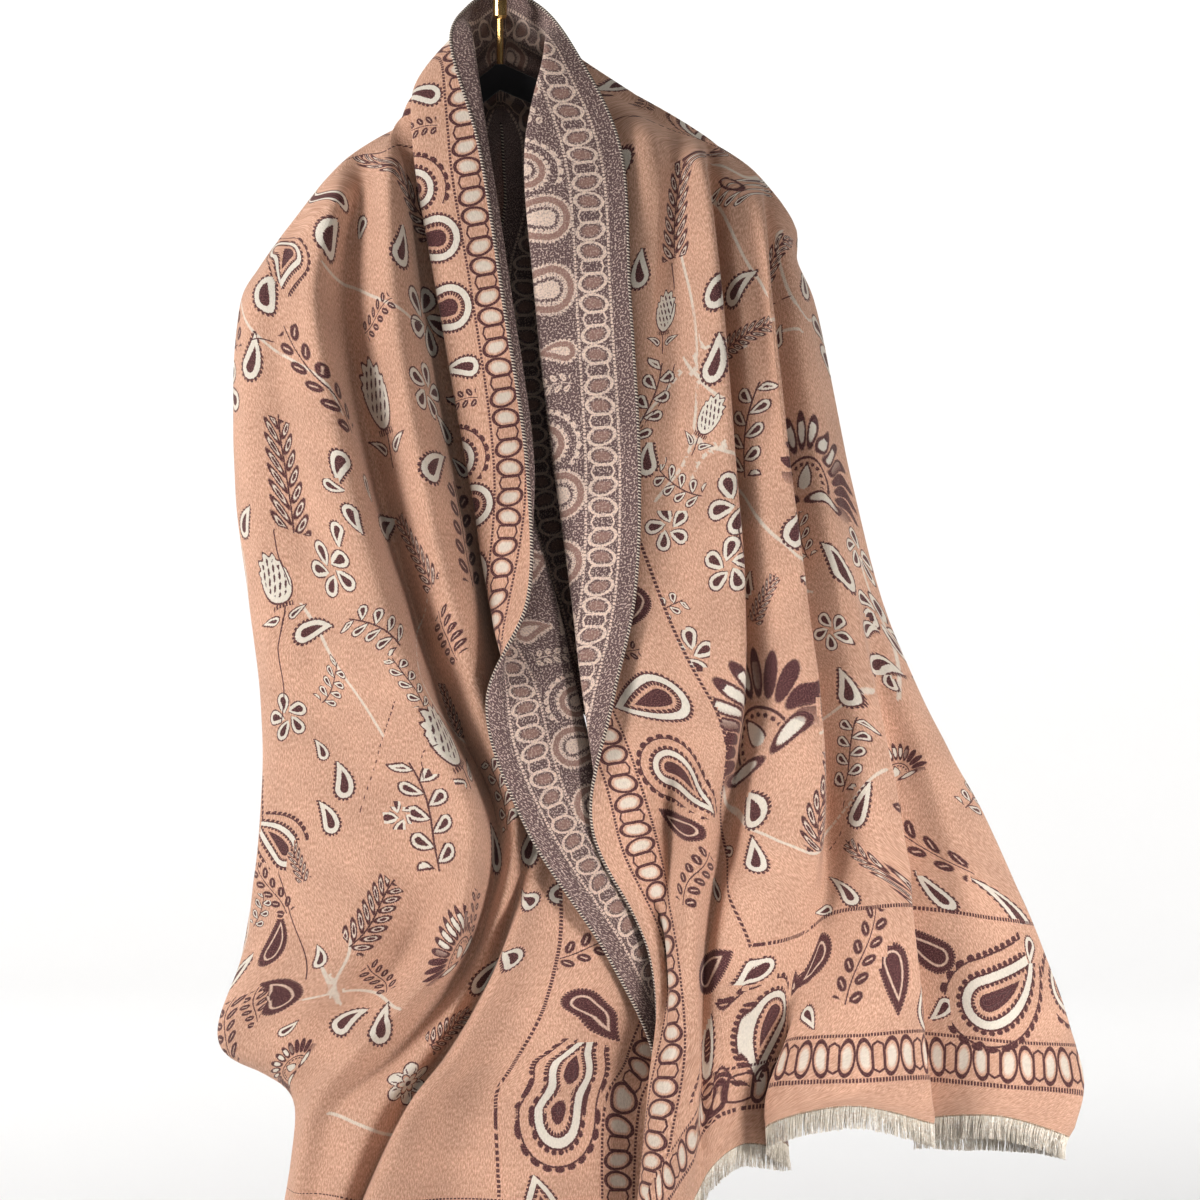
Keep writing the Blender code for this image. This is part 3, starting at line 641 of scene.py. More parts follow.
# Motifs that the photograph shows, for each half, chart and motif: s, t, turn in degrees, size.
# A size below 0 is mirrored.
shownPlaces = {
    ("right", "front", "paisley"): [(77, 652, 105, 0.95), (79, 884, -3, 1)],
    ("right", "front", "plumDrop"): [(72, 697, -75, 0.95), (78, 805, 38, 0.99)],
    ("right", "front", "ivoryDrop"): [(99, 749, -30, 0.62)],
    ("right", "front", "sprig"): [(75, 742, 37, 0.94)],
    ("right", "front", "ring"): [(74, 596, -112, 1.03)],
    ("right", "end", "paisley"): [(455, 905, 68, -1.3), (168, 908, -150, -1.05)],
    ("right", "end", "plumDrop"): [(397, 876, -67, 0.96), (249, 877, -126, 1.15), (112, 892, -20, 0.9),
        (337, 894, 163, 1.03)],
    ("right", "end", "ivoryDrop"): [(409, 919, -157, 0.79)],
    ("right", "end", "sprig"): [(306, 878, 16, 1.25)],
    ("right", "end", "ring"): [(370, 917, 13, 0.8)],
    ("right", "field", "ivoryDrop"): [(156, 264, -6, 1.08), (341, 369, 6, 0.63), (138, 411, -1, 1.02),
        (232, 543, 8, 0.82), (365, 605, 54, 0.83), (360, 634, 53, 1.1), (360, 648, 8, 0.62),
        (126, 741, -56, 0.74), (187, 825, -100, 0.62)],
    ("right", "field", "fern"): [(202, 234, 11, 1.07), (341, 311, 30, 0.83), (281, 356, 86, 0.72),
        (243, 560, 50, 0.62)],
    ("right", "field", "bud"): [(173, 312, 19, 0.75), (192, 403, 46, 0.75)],
    ("right", "field", "fan"): [(345, 470, 25, 1.71), (164, 632, -13, 2.45), (342, 716, -20, 0.75)],
    ("right", "field", "branch"): [(277, 242, -57, 0.7), (263, 425, 27, 1.28), (157, 439, -41, 0.81),
        (118, 525, 72, 0.7), (323, 527, 1, 0.75), (285, 710, 27, 1.03)],
    ("right", "field", "cluster"): [(143, 466, -1, 0.9), (383, 540, -8, 0.85), (124, 564, 25, 1.08),
        (384, 589, 16, 0.97), (323, 613, -6, 0.85)],
    ("left", "front", "paisley"): [(78, 928, 22, -1.12)],
    ("left", "front", "plumDrop"): [(83, 873, -131, 1.19)],
    ("left", "front", "sprig"): [(104, 814, -66, 1.12)],
    ("left", "front", "ring"): [(84, 998, -2, 0.9)],
    ("left", "field", "paisley"): [(322, 232, 123, 0.7), (448, 640, 10, -0.8), (408, 665, 30, 0.9)],
    ("left", "field", "plumDrop"): [(428, 745, -30, 0.8), (396, 791, 45, 1.02), (399, 792, 50, 0.72)],
    ("left", "field", "ivoryDrop"): [(245, 181, -56, 0.71), (230, 195, 133, 0.72), (162, 347, 17, 0.88),
        (152, 374, 24, 0.62), (327, 382, 141, 0.95), (296, 392, 173, 0.71), (336, 400, -126, 0.62),
        (328, 421, 173, 0.78), (344, 434, 146, 0.73), (369, 603, 12, 0.63), (349, 627, -1, 1.08),
        (359, 655, 13, 0.99), (153, 706, 15, 0.95), (124, 712, -74, 1.08), (164, 754, 21, 0.92),
        (386, 759, 7, 0.7), (368, 828, -61, 0.62)],
    ("left", "field", "sprig"): [(220, 265, -68, 0.71), (197, 504, 38, 0.82), (428, 700, 20, 0.9),
        (243, 716, -17, 0.7), (328, 776, 55, 0.7), (410, 799, 29, 0.73), (430, 812, 10, 0.95)],
    ("left", "field", "fern"): [(381, 395, -12, 1.24), (237, 438, 24, 0.92), (219, 556, -10, 0.62),
        (394, 680, 4, 0.62), (341, 725, -48, 0.99), (218, 807, -52, 0.7)],
    ("left", "field", "bud"): [(244, 331, 2, 1.3), (412, 482, 20, 1.01), (259, 591, 28, 1.3)],
    ("left", "field", "fan"): [(265, 734, 50, 1.09), (362, 859, 69, 0.7)],
    ("left", "field", "flower"): [(239, 857, 57, 1.23)],
    ("left", "field", "branch"): [(315, 502, 74, 0.99), (283, 542, 20, 0.7), (351, 551, -37, 0.7),
        (280, 645, 15, 1.5), (441, 711, -33, 0.7)],
    ("left", "field", "cluster"): [(397, 577, 8, 0.85), (302, 652, 31, 0.85)],
}

# Ivory vines of each half, as points (s, t)
vines = {
    "right": [
        [(139, 380), (174, 360), (200, 349), (280, 364)],
        [(177, 410), (243, 468), (270, 522), (320, 575)],
        [(116, 686), (172, 741), (197, 763), (283, 752), (309, 724)],
        [(344, 288), (365, 353), (396, 353)], [(139, 443), (173, 417), (199, 330), (199, 270)],
        [(383, 547), (385, 601), (360, 662)], [(236, 212), (274, 255), (294, 303), (306, 333)],
        [(183, 348), (196, 374), (209, 392)], [(305, 353), (362, 371)],
        [(202, 423), (181, 428), (167, 443)], [(113, 689), (147, 713), (170, 736)],
        [(226, 673), (304, 672), (328, 655)],
        [(420, 200), (450, 300), (430, 420), (470, 540), (440, 680), (480, 790)],
        [(520, 260), (545, 380), (510, 500), (540, 640), (500, 760)],
    ],
    "left": [
        [(287, 233), (247, 239), (191, 265), (152, 282)],
        [(390, 262), (366, 299), (321, 318), (312, 342)], [(392, 493), (345, 533), (317, 587)],
        [(232, 474), (268, 542), (215, 582)], [(278, 796), (341, 789), (373, 797)],
        [(298, 894), (258, 899), (238, 899)], [(366, 746), (363, 778), (339, 804)],
        [(390, 759), (340, 804)],
        [(450, 200), (480, 330), (450, 450), (490, 580), (460, 700), (490, 800)],
        [(540, 240), (520, 380), (550, 500), (525, 640), (550, 780)],
    ],
}

# Thin plum stems of each half, as points (s, t)
stems = {
    "right": [
        [(189, 272), (185, 301), (178, 315)], [(177, 347), (158, 372), (138, 386)],
        [(241, 456), (199, 483), (195, 514)], [(305, 337), (357, 343)],
        [(280, 743), (270, 768), (243, 777)],
    ],
    "left": [
        [(415, 689), (411, 738), (386, 779)], [(404, 438), (407, 459), (403, 478)],
        [(405, 504), (394, 547), (403, 580)], [(300, 558), (317, 587), (328, 625), (336, 656)],
        [(272, 589), (284, 598), (285, 621)], [(205, 269), (192, 268), (169, 268)],
        [(412, 293), (380, 295), (357, 297)],
    ],
}

# One repeat of the border, and the whole end band: motif, depth, place along, turn, size, mirrored
borderRow = [
    ("ring", 67, 0, 82, 1.0, 1), ("ring", 67, 55, 98, 1.0, -1), ("ivoryDrop", 55, 98, 70, 1.05, 1),
    ("plumDrop", 94, 92, 210, 0.85, 1), ("sprig", 66, 124, 86, 0.62, 1),
    ("paisley", 78, 164, 66, 0.95, 1), ("plumDrop", 100, 190, 30, 0.7, -1),
]
endRow = [
    ("paisley", 108, 96, 62, 1.05, 1), ("plumDrop", 92, 160, 150, 0.85, 1),
    ("ivoryDrop", 134, 160, 200, 0.9, 1), ("sprig", 108, 198, 8, 1.1, 1),
    ("plumDrop", 110, 236, -14, 1.0, -1), ("ivoryDrop", 80, 262, 120, 0.8, 1),
    ("paisley", 110, 312, -66, 1.05, -1), ("ivoryDrop", 84, 366, 40, 0.9, 1),
    ("plumDrop", 116, 384, 165, 1.0, 1), ("sprig", 108, 422, -6, 1.1, -1),
    ("plumDrop", 106, 458, 12, 1.0, 1), ("ivoryDrop", 136, 486, 220, 0.8, -1),
    ("paisley", 108, 530, 70, 1.05, 1), ("plumDrop", 98, 590, -20, 0.9, -1),
    ("ivoryDrop", 136, 594, 160, 0.8, 1), ("paisley", 106, 646, -72, 0.95, -1),
]


def borderPlaces(name):
    # the same order of motifs along both selvages and across the right end
    places = []
    for k in range(5):
        for kind, depth, along, turn, size, way in borderRow:
            t = pattern["borderStart"] + along + k * pattern["borderRepeat"]
            places.append(("front", kind, depth, t, turn, size, way))
            places.append(("outer", kind, sheet["width"] - depth, t, -turn, size, -way))
    for kind, depth, along, turn, size, way in endRow if name == "right" else []:
        places.append(("end", kind, along, sheet["halfLength"] - depth, turn, size, way))
    return places


def fillerPlaces(taken, chance):
    # the rest of the field, on a loose lattice, clear of what is placed already
    order = ["fern", "ivoryDrop", "bud", "sprig", "branch", "cluster", "fern", "branch"]
    cell = pattern["fieldCell"]
    startS, startT = pattern["fieldStart"]
    runS, runT = pattern["fieldRun"]
    left, right, low = pattern["fieldEdges"]
    loose = pattern["fieldLoose"]
    places = []
    turn = 0
    for row in range(int(runT / cell) + 1):
        for column in range(int(runS / cell) + 1):
            s = startS + (column + 0.5 * (row % 2)) * cell + chance.uniform(-loose, loose)
            t = startT + row * cell + chance.uniform(-loose, loose)
            angle = chance.uniform(-pattern["fieldTurn"], pattern["fieldTurn"])
            size = chance.uniform(*pattern["fieldSizes"])
            kind = order[turn % len(order)]
            turn += 1 + int(chance.integers(0, 3))
            for name in (kind, "sprig", "ivoryDrop"):
                reach = motifs[name][1] * size * 0.82
                inset = reach * 0.8
                inField = left + inset < s < right - inset and t < low - inset
                clear = all(math.hypot(s - a[2], t - a[3]) > reach + motifs[a[1]][1] * a[5] * 0.78
                            for a in taken + places)
                if inField and clear:
                    flip = 1 if chance.random() < 0.5 else -1
                    places.append(("field", name, s, t, angle, size, flip))
                    break
    return places


def halfPlaces(name):
    chance = np.random.default_rng(pattern["seed"] + len(name))
    shown = [(chart, kind, s, t, turn, abs(size), 1 if size > 0 else -1)
             for (half, chart, kind), rows in shownPlaces.items() if half == name
             for s, t, turn, size in rows]
    places = list(shown)
    for place in borderPlaces(name):
        reach = motifs[place[1]][1] * place[5]
        if all(place[0] != a[0] or math.hypot(place[2] - a[2], place[3] - a[3])
               > pattern["borderRoom"] * (reach + motifs[a[1]][1] * a[5]) for a in shown):
            places.append(place)
    return places + fillerPlaces([a for a in places if a[0] == "field"], chance)


def teach(mesh, label, domain, values):
    layer = mesh.attributes.new(label, "FLOAT_VECTOR", domain)
    layer.data.foreach_set("vector", values.astype(np.float32).ravel())


def layLines(mesh, s, t, label, lines):
    # each point learns how far it lies from the nearest line: signed, and plain
    near = np.full(len(s), pattern["lineReach"])
    signed = near.copy()
    for points in lines:
        line = smoothLine(np.array([(a, b, 0.0) for a, b in points]), 8)[:, :2]
        for a, b in zip(line[:-1], line[1:]):
            step = b - a
            reachS = s - a[0]
            reachT = t - a[1]
            share = np.clip((reachS * step[0] + reachT * step[1]) / (step @ step), 0.0, 1.0)
            gapS = reachS - share * step[0]
            gapT = reachT - share * step[1]
            gap = np.hypot(gapS, gapT)
            closer = gap < near
            near[closer] = gap[closer]
            signed[closer] = (gap * np.sign(step[0] * gapT - step[1] * gapS))[closer]
    teach(mesh, label, "POINT", np.stack([signed, near, near * 0], axis=1))


def layPattern(mesh, faces, s, t, maps, name):
    # each face learns which motif it carries and where it lies in it, and its border place
    charts = {"field": (s, t)}
    front, outer, end = maps
    stops = pattern["endStops"][name]
    far = sheet["halfLength"]
    endDepth = np.interp(end[0], stops + (stops[-1] + far,),
                         pattern["borderStops"] + (pattern["paisleyBand"] + far,))
    charts["front"] = front
    charts["outer"] = (sheet["width"] - outer[0], outer[1])
    charts["end"] = (end[1], sheet["halfLength"] - end[0])
    corners = {key: [part.ravel()[faces] for part in chart] for key, chart in charts.items()}
    depths = {"front": front[0].ravel()[faces], "outer": outer[0].ravel()[faces],
              "end": endDepth.ravel()[faces]}
    middle = np.stack([part.mean(axis=1) for part in depths.values()])
    nearest = middle.argmin(axis=0)
    shallow = middle.min(axis=0) < pattern["paisleyBand"]
    inChart = {"field": ~shallow, "front": shallow & (nearest == 0),
               "outer": shallow & (nearest == 1), "end": shallow & (nearest == 2)}
    best = np.full(len(faces), 1.0)
    place = np.zeros((len(faces), 4, 3))
    for chart, kind, s0, t0, turn, size, flip in placesOf[name]:
        number, reach = motifs[kind]
        cornerS, cornerT = corners[chart]
        near = np.hypot(cornerS.mean(axis=1) - s0, cornerT.mean(axis=1) - t0) / (reach * size)
        mine = (near < best) & inChart[chart]
        if not mine.any():
            continue
        best[mine] = near[mine]
        angle = math.radians(turn)
        ds = (cornerS[mine] - s0) / size
        dt = (t0 - cornerT[mine]) / size
        place[mine, :, 0] = flip * (ds * math.cos(angle) - dt * math.sin(angle))
        place[mine, :, 1] = ds * math.sin(angle) + dt * math.cos(angle)
        place[mine, :, 2] = number
    border = np.zeros((len(faces), 4, 3))
    for number, key in enumerate(("front", "outer", "end")):
        mine = nearest == number
        border[mine, :, 0] = depths[key][mine]
        run = corners[key][0] * pattern["endNarrowing"] if key == "end" else corners[key][1]
        border[mine, :, 1] = run[mine]
    teach(mesh, "motifPlace", "CORNER", place)
    teach(mesh, "borderPlace", "CORNER", border)
    layLines(mesh, s.ravel(), t.ravel(), "vinePlace", vines[name])
    layLines(mesh, s.ravel(), t.ravel(), "stemPlace", stems[name])


def does(operation):
    def work(self, *others):
        return self.join(operation, *others)
    return work


class Amount:
    # a number that the shader works out, so that a motif can be written as plain sums
    def __init__(self, tree, socket):
        self.tree = tree
        self.socket = socket

    def join(self, operation, *others, clamp=False):
        node = self.tree.nodes.new("ShaderNodeMath")
        node.operation = operation
        node.use_clamp = clamp
        for slot, value in enumerate((self,) + others):
            if isinstance(value, Amount):
                self.tree.links.new(value.socket, node.inputs[slot])
            else:
                node.inputs[slot].default_value = value
        return Amount(self.tree, node.outputs[0])

    __add__ = does("ADD")
    __sub__ = does("SUBTRACT")
    __mul__ = does("MULTIPLY")
    __truediv__ = does("DIVIDE")
    size = does("ABSOLUTE")
    most = does("MAXIMUM")
    least = does("MINIMUM")
    scaled = does("MULTIPLY_ADD")
    sine = does("SINE")
    sign = does("SIGN")
    root = does("SQRT")
    angle = does("ARCTAN2")

    def cycle(self, pitch):
        # runs from minus half a pitch to half a pitch, over and over
        return self.join("WRAP", pitch / 2, -pitch / 2)

    def inside(self, soft=0.35):
        # 1 where the distance is below 0
        return self.join("MULTIPLY_ADD", -1.0 / soft, 0.5, clamp=True)

    def above(self, level, steep):
        # climbs from 0 at the level up to 1
        return (self - level).join("MULTIPLY", steep, clamp=True)

    def between(self, low, high, soft=0.35):
        return (self - (low + high) / 2).size().scaled(1.0, -(high - low) / 2).inside(soft)


def span(a, b):
    return (a * a + b * b).root()


def turned(u, v, angle):
    c = math.cos(math.radians(angle))
    s = math.sin(math.radians(angle))
    return u * c + v * s, v * c - u * s


def ellipse(u, v, wide, high):
    return (span(u / wide, v / high) - 1.0) * min(wide, high)


def teardrop(u, v, round_, tail, bend):
    # distance from a drop's outline, and the way along it
    up = v.most(0.0)
    low = v.least(0.0)
    q = up / tail
    q2 = q * q
    side = (u - q2 * bend).size()
    width = (q * (-0.1 * round_)) + (q2 * (-0.9 * round_) + round_)
    return span(side, low) - width, up + low.angle(side) * round_


def beads(distance, along, at, radius, pitch):
    return (span(along.cycle(pitch), distance - at) - radius).inside()


def drawPaisley(u, v):
    # an ivory ribbon edged with beads, a plum drop inside, a beaded line outside
    d, a = teardrop(u, v + 10.0, 15.5, 46.0, 19.0)
    plum = d.between(-0.2, 1.0).most(beads(d, a, 1.9, 1.6, 4.2))
    plum = plum.most(d.between(9.2, 10.4)).most(beads(d, a, 11.4, 1.9, 4.9))
    plum = plum.most(beads(d, a, -6.3, 1.3, 3.4)).most(d.between(-6.0, -5.1))
    plum = plum.most((d + 10.2).inside())
    return plum, d.between(-5.1, -0.2).most(d.between(-13.4, -12.4))


def drawPlumDrop(u, v):
    d, a = teardrop(u, v + 9.0, 12.4, 37.0, 9.0)
    plum = d.between(-4.6, 0.0, 0.8).most((d + 6.4).inside(0.8)).most(beads(d, a, 0.3, 0.9, 2.3))
    return plum, d.between(-6.4, -4.6) * 0.35


def drawIvoryDrop(u, v):
    d, a = teardrop(u, v + 5.0, 7.2, 20.0, 8.0)
    plum = d.between(-0.2, 0.7).most(beads(d, a, 1.0, 1.0, 2.9)).most((d + 4.0).inside())
    return plum, d.between(-4.0, -0.2)


def drawSprig(u, v):
    # plum leaves in pairs on a waving stem
    u = u - (v / 13.0).sine() * 3.2
    other = u.sign() * 2.7
    y = (v + other).cycle(11.4)
    x = u.size() - 6.6
    leafU, leafV = turned(x, y, 40.0)
    leaf = ellipse(leafU, leafV, 5.3, 3.3).most(v.size() - 29.0)
    stem = (u.size() - 0.5).most(v.size() - 31.0)
    vein = leafV.size().scaled(1.0, -0.5).most(leaf + 1.6)
    plum = leaf.inside(0.6).most(stem.inside())
    return plum * (vein * -1.0).inside(0.6), vein.inside() * 0.3


def drawFern(u, v):
    # long leaves in pairs, slanting up from a stem
    u = u - (v / 17.0).sine() * 2.0
    wide = u.size() / v.scaled(-0.0065, 1.0)
    across = (v - wide * 1.2 + u.sign() * 2.4).cycle(9.6) * 0.64
    leaf = ellipse(wide - 6.0, across, 5.4, 2.35).most((v + 1.0).size() - 34.0)
    stem = (u.size() - 0.55).most(v.size() - 36.0)
    plum = leaf.between(-0.8, 0.15).most((leaf + 1.45).inside()).most(stem.inside())
    return plum, leaf.between(-1.45, -0.8) * 0.8


def drawBud(u, v):
    # a pale thistle with dark seeds, a toothed collar and two curled leaves
    up = v - 8.0
    body = ellipse(u, up, 12.5, 19.5)
    body = body + (u.angle(up) * 15.0).sine() * (up * 0.09).join("MINIMUM", 1.3).most(0.0)
    seed = ellipse((u + up * 0.45).cycle(5.0), up.cycle(6.9), 1.05, 2.7)
    seed = seed.most(body + 3.0)
    tooth = (u.cycle(2.6).size() - 0.8).most((v + 13.2).size() - 1.8).most(u.size() - 8.0)
    leafU, leafV = turned(u.size() - 9.0, v + 21.0, 40.0)
    leaf, _ = teardrop(leafV * -1.0, leafU + 3.0, 2.9, 13.0, 3.0)
    stem = ((u - (v / 7.0).sine() * 1.4).size() - 0.6).most((v + 24.0).size() - 10.0)
    plum = body.between(-0.2, 0.8).most(seed.inside()).most(tooth.inside())
    plum = plum.most(leaf.between(-0.2, 0.7)).most((leaf + 1.7).inside()).most(stem.inside())
    return plum, (body + 0.2).inside().most((leaf + 0.2).inside())


def drawFan(u, v):
    up = v + 15.0
    out = span(u, up)
    turn = u.angle(up)
    arc = 0.235
    across = turn.cycle(arc) * out
    petal = ellipse(out - 26.0, across, 9.0, 2.6).most(turn.size() - 1.55)
    plum = petal.between(-0.9, 0.1).most((petal + 0.2).inside() * (out * -1.0 + 30.0).inside())
    ring = out.most(up * -6.0 + out)
    inner = ring.between(12.6, 13.8).most(beads(out, turn * 10.4, 10.4, 0.95, 3.3))
    heart, _ = teardrop(u, up - 2.5, 3.4, 7.5, 0.0)
    inner = inner.most(heart.between(0.0, 0.9))
    leafU, leafV = turned(u.size() - 12.0, up + 3.5, 12.0)
    leaf = ellipse(leafU, leafV, 10.0, 2.6)
    half = (up * -1.0).inside()
    plum = plum.most(inner * half).most(leaf.between(-0.7, 0.3))
    ivory = (petal + 0.9).inside().most(heart.inside()).most((leaf + 0.7).inside())
    return plum, ivory


def drawFlower(u, v):
    out = span(u, v)
    turn = u.angle(v)
    outer = out - ((turn * 3.0).sine().size() * 6.5 + 9.0)
    inner = out - ((turn * 3.0 + 1.57).sine().size() * 3.6 + 4.2)
    vein = ((turn * 6.0 + 1.57).sine().size() * out * 0.16 - 0.42).most(out * -1.0 + 8.0)
    plum = outer.between(-0.6, 0.6).most(inner.between(-0.5, 0.6)).most((out - 2.0).inside())
    plum = plum.most(vein.inside() * (outer + 2.2).inside())
    return plum, (outer + 0.6).inside() * ((inner * -1.0).inside().most((inner + 1.6).inside()))


def drawBranch(u, v):
    u = u - (v * v) * 0.006
    other = u.sign() * 3.4
    y = (v + other).cycle(13.6)
    leafU, leafV = turned(u.size() - 3.6, y + 1.2, -52.0)
    leaf, _ = teardrop(leafU * -1.0, (leafV * -1.0) + 6.8, 3.7, 9.5, 2.0)
    leaf = leaf.most(v.size() - 27.0)
    stem = (u.size() - 0.6).most((v + 1.0).size() - 28.0)
    plum = leaf.between(-0.2, 0.8).most((leaf + 2.0).inside()).most(stem.inside())
    return plum, leaf.between(-2.0, -0.2)


def drawCluster(u, v):
    # five pale drops with dark cores, their tails to the middle
    out = span(u, v)
    turn = u.angle(v).cycle(2 * math.pi / 5)
    d, _ = teardrop(turn.sine() * out, (turn + math.pi / 2).sine() * out * -1.0 + 14.5, 6.0, 12.5, 4.0)
    plum = d.between(-0.2, 0.8).most((d + 3.1).inside())
    return plum, d.between(-3.1, -0.2)


def drawRing(u, v):
    # a drop of beads, pale ribbon, beads and a plum middle
    d, a = teardrop(u, v + 9.0, 17.0, 38.0, 9.0)
    plum = d.between(0.0, 1.0).most(beads(d, a, 1.3, 1.1, 3.0))
    plum = plum.most(d.between(-5.9, -5.0)).most(beads(d, a, -6.9, 1.5, 3.6))
    plum = plum.most((d + 10.6).inside())
    return plum, d.between(-5.0, 0.0)


drawings = [drawPaisley, drawPlumDrop, drawIvoryDrop, drawSprig, drawFern, drawBud, drawFan,
            drawFlower, drawBranch, drawCluster, drawRing]


def drawBorder(depth, along):
    low, high = pattern["coinBand"]
    x = along.cycle(pattern["coinPair"]).size()
    y = depth - (low + high) / 2
    coin = ellipse(x - 11.2, y - (x - 11.2) * 0.25, 6.9, 9.8).most((x * -1.0) + 5.2)
    lens = (x - 4.6).most(y.size() - 8.6 + x * 0.4)
    plum = coin.between(-1.0, 0.9).most(lens.between(-0.8, 0.7))
    ivory = (coin + 2.5).inside(1.6) * 0.85
    for at, half, pitch in ((low - 0.6, 0.95, 2.7), (high + 0.6, 0.95, 2.7),
                            (pattern["paisleyBand"], 1.3, 3.3)):
        dot = along.cycle(pitch).size() - pitch * 0.33
        plum = plum.most(dot.most((depth - at).size() - half).inside())
    return plum, ivory


def readPlace(tree, name):
    # the flat map, or what the faces and points have learnt under another name
    if name == "OFBake":
        node = tree.nodes.new("ShaderNodeUVMap")
        node.uv_map = name
        return node.outputs["UV"]
    node = tree.nodes.new("ShaderNodeAttribute")
    node.attribute_name = name
    return node.outputs["Vector"]


def objectPlace(tree):
    return tree.nodes.new("ShaderNodeTexCoord").outputs["Object"]


def millimetres(tree):
    # the flat map of the cloth in millimetres
    return stretch(tree, readPlace(tree, "OFBake"), sheet["width"], sheet["halfLength"])


def parts(tree, vector):
    node = tree.nodes.new("ShaderNodeSeparateXYZ")
    tree.links.new(vector, node.inputs[0])
    return [Amount(tree, socket) for socket in node.outputs]


def noise(tree, vector, scale, detail=2.0, dimensions="2D", roughness=0.5):
    node = tree.nodes.new("ShaderNodeTexNoise")
    node.noise_dimensions = dimensions
    node.inputs["Scale"].default_value = scale
    node.inputs["Detail"].default_value = detail
    node.inputs["Roughness"].default_value = roughness
    tree.links.new(vector, node.inputs["Vector"])
    return Amount(tree, node.outputs["Fac"])


def stretch(tree, vector, x, y):
    node = tree.nodes.new("ShaderNodeVectorMath")
    node.operation = "MULTIPLY"
    node.inputs[1].default_value = (x, y, 1.0)
    tree.links.new(vector, node.inputs[0])
    return node.outputs[0]


def makePatternGroup():
    # works out where plum and ivory yarn comes to the face
    tree = bpy.data.node_groups.new("wovenPattern", "ShaderNodeTree")
    for name in ("plum", "ivory"):
        tree.interface.new_socket(name, in_out="OUTPUT", socket_type="NodeSocketFloat")
    tree.interface.new_socket("roughness", in_out="INPUT", socket_type="NodeSocketFloat")
    rough = Amount(tree, tree.nodes.new("NodeGroupInput").outputs[0])
    flat = millimetres(tree)
    ragged = (noise(tree, flat, 0.9, 1.0) - 0.5) * rough
    ragged2 = (noise(tree, stretch(tree, flat, 1.0, -1.0), 0.8, 1.0) - 0.5) * rough
    u, v, kind = parts(tree, readPlace(tree, "motifPlace"))
    depth, along, _ = parts(tree, readPlace(tree, "borderPlace"))
    signed, near, _ = parts(tree, readPlace(tree, "vinePlace"))
    u = u + ragged
    v = v + ragged2
    plum, ivory = drawBorder(depth + ragged * 0.5, along + ragged2 * 0.5)
    for number, draw in enumerate(drawings, 1):
        here = kind.join("COMPARE", float(number), 0.4)
        motifPlum, motifIvory = draw(u, v)
        plum = plum.most(motifPlum * here)
        ivory = ivory.most(motifIvory * here)
    vine = ((signed + ragged).size() - 1.25).most(near - 3.0)
    ivory = ivory.most(vine.inside(0.8) * 0.8)
    signed, near, _ = parts(tree, readPlace(tree, "stemPlace"))
    plum = plum.most((signed.size() - 0.5).most(near - 2.0).inside())
    end = tree.nodes.new("NodeGroupOutput")
    tree.links.new(plum.socket, end.inputs[0])
    tree.links.new(ivory.socket, end.inputs[1])
    return tree


def freshMaterial(name, finish):
    material = bpy.data.materials.new(name)
    material.use_nodes = True
    shader = material.node_tree.nodes["Principled BSDF"]
    for socket, value in finish.items():
        shader.inputs[socket].default_value = value
    return material, material.node_tree, shader


def mix(tree, share, first, second):
    node = tree.nodes.new("ShaderNodeMix")
    node.data_type = "RGBA"
    for slot, value in ((0, share), (6, first), (7, second)):
        if isinstance(value, Amount):
            tree.links.new(value.socket, node.inputs[slot])
        elif isinstance(value, tuple):
            node.inputs[slot].default_value = (*value, 1.0)
        elif isinstance(value, float):
            node.inputs[slot].default_value = value
        else:
            tree.links.new(value, node.inputs[slot])
    return node.outputs[2]


def addBump(tree, shader, height, strength, distance):
    node = tree.nodes.new("ShaderNodeBump")
    node.inputs["Strength"].default_value = strength
    node.inputs["Distance"].default_value = distance
    tree.links.new(height.socket, node.inputs["Height"])
    tree.links.new(node.outputs[0], shader.inputs["Normal"])


# Yarn colours of the cloth's two sides and of the fringe, linear
yarn = {
    "peach": (0.53, 0.30, 0.205),
    "peachPale": (0.70, 0.455, 0.345),
    "plum": (0.062, 0.022, 0.028),
    "plumPale": (0.20, 0.085, 0.085),
    "ivory": (0.71, 0.645, 0.56),
    "reverse": (0.155, 0.10, 0.098),
    "reversePale": (0.56, 0.43, 0.375),
    "reverseLine": (0.76, 0.60, 0.50),
    "reverseFill": (0.36, 0.215, 0.175),
    "warp": (0.74, 0.64, 0.53),
    "warpPale": (0.95, 0.91, 0.84),
    "warpWarm": (0.84, 0.76, 0.64),
}


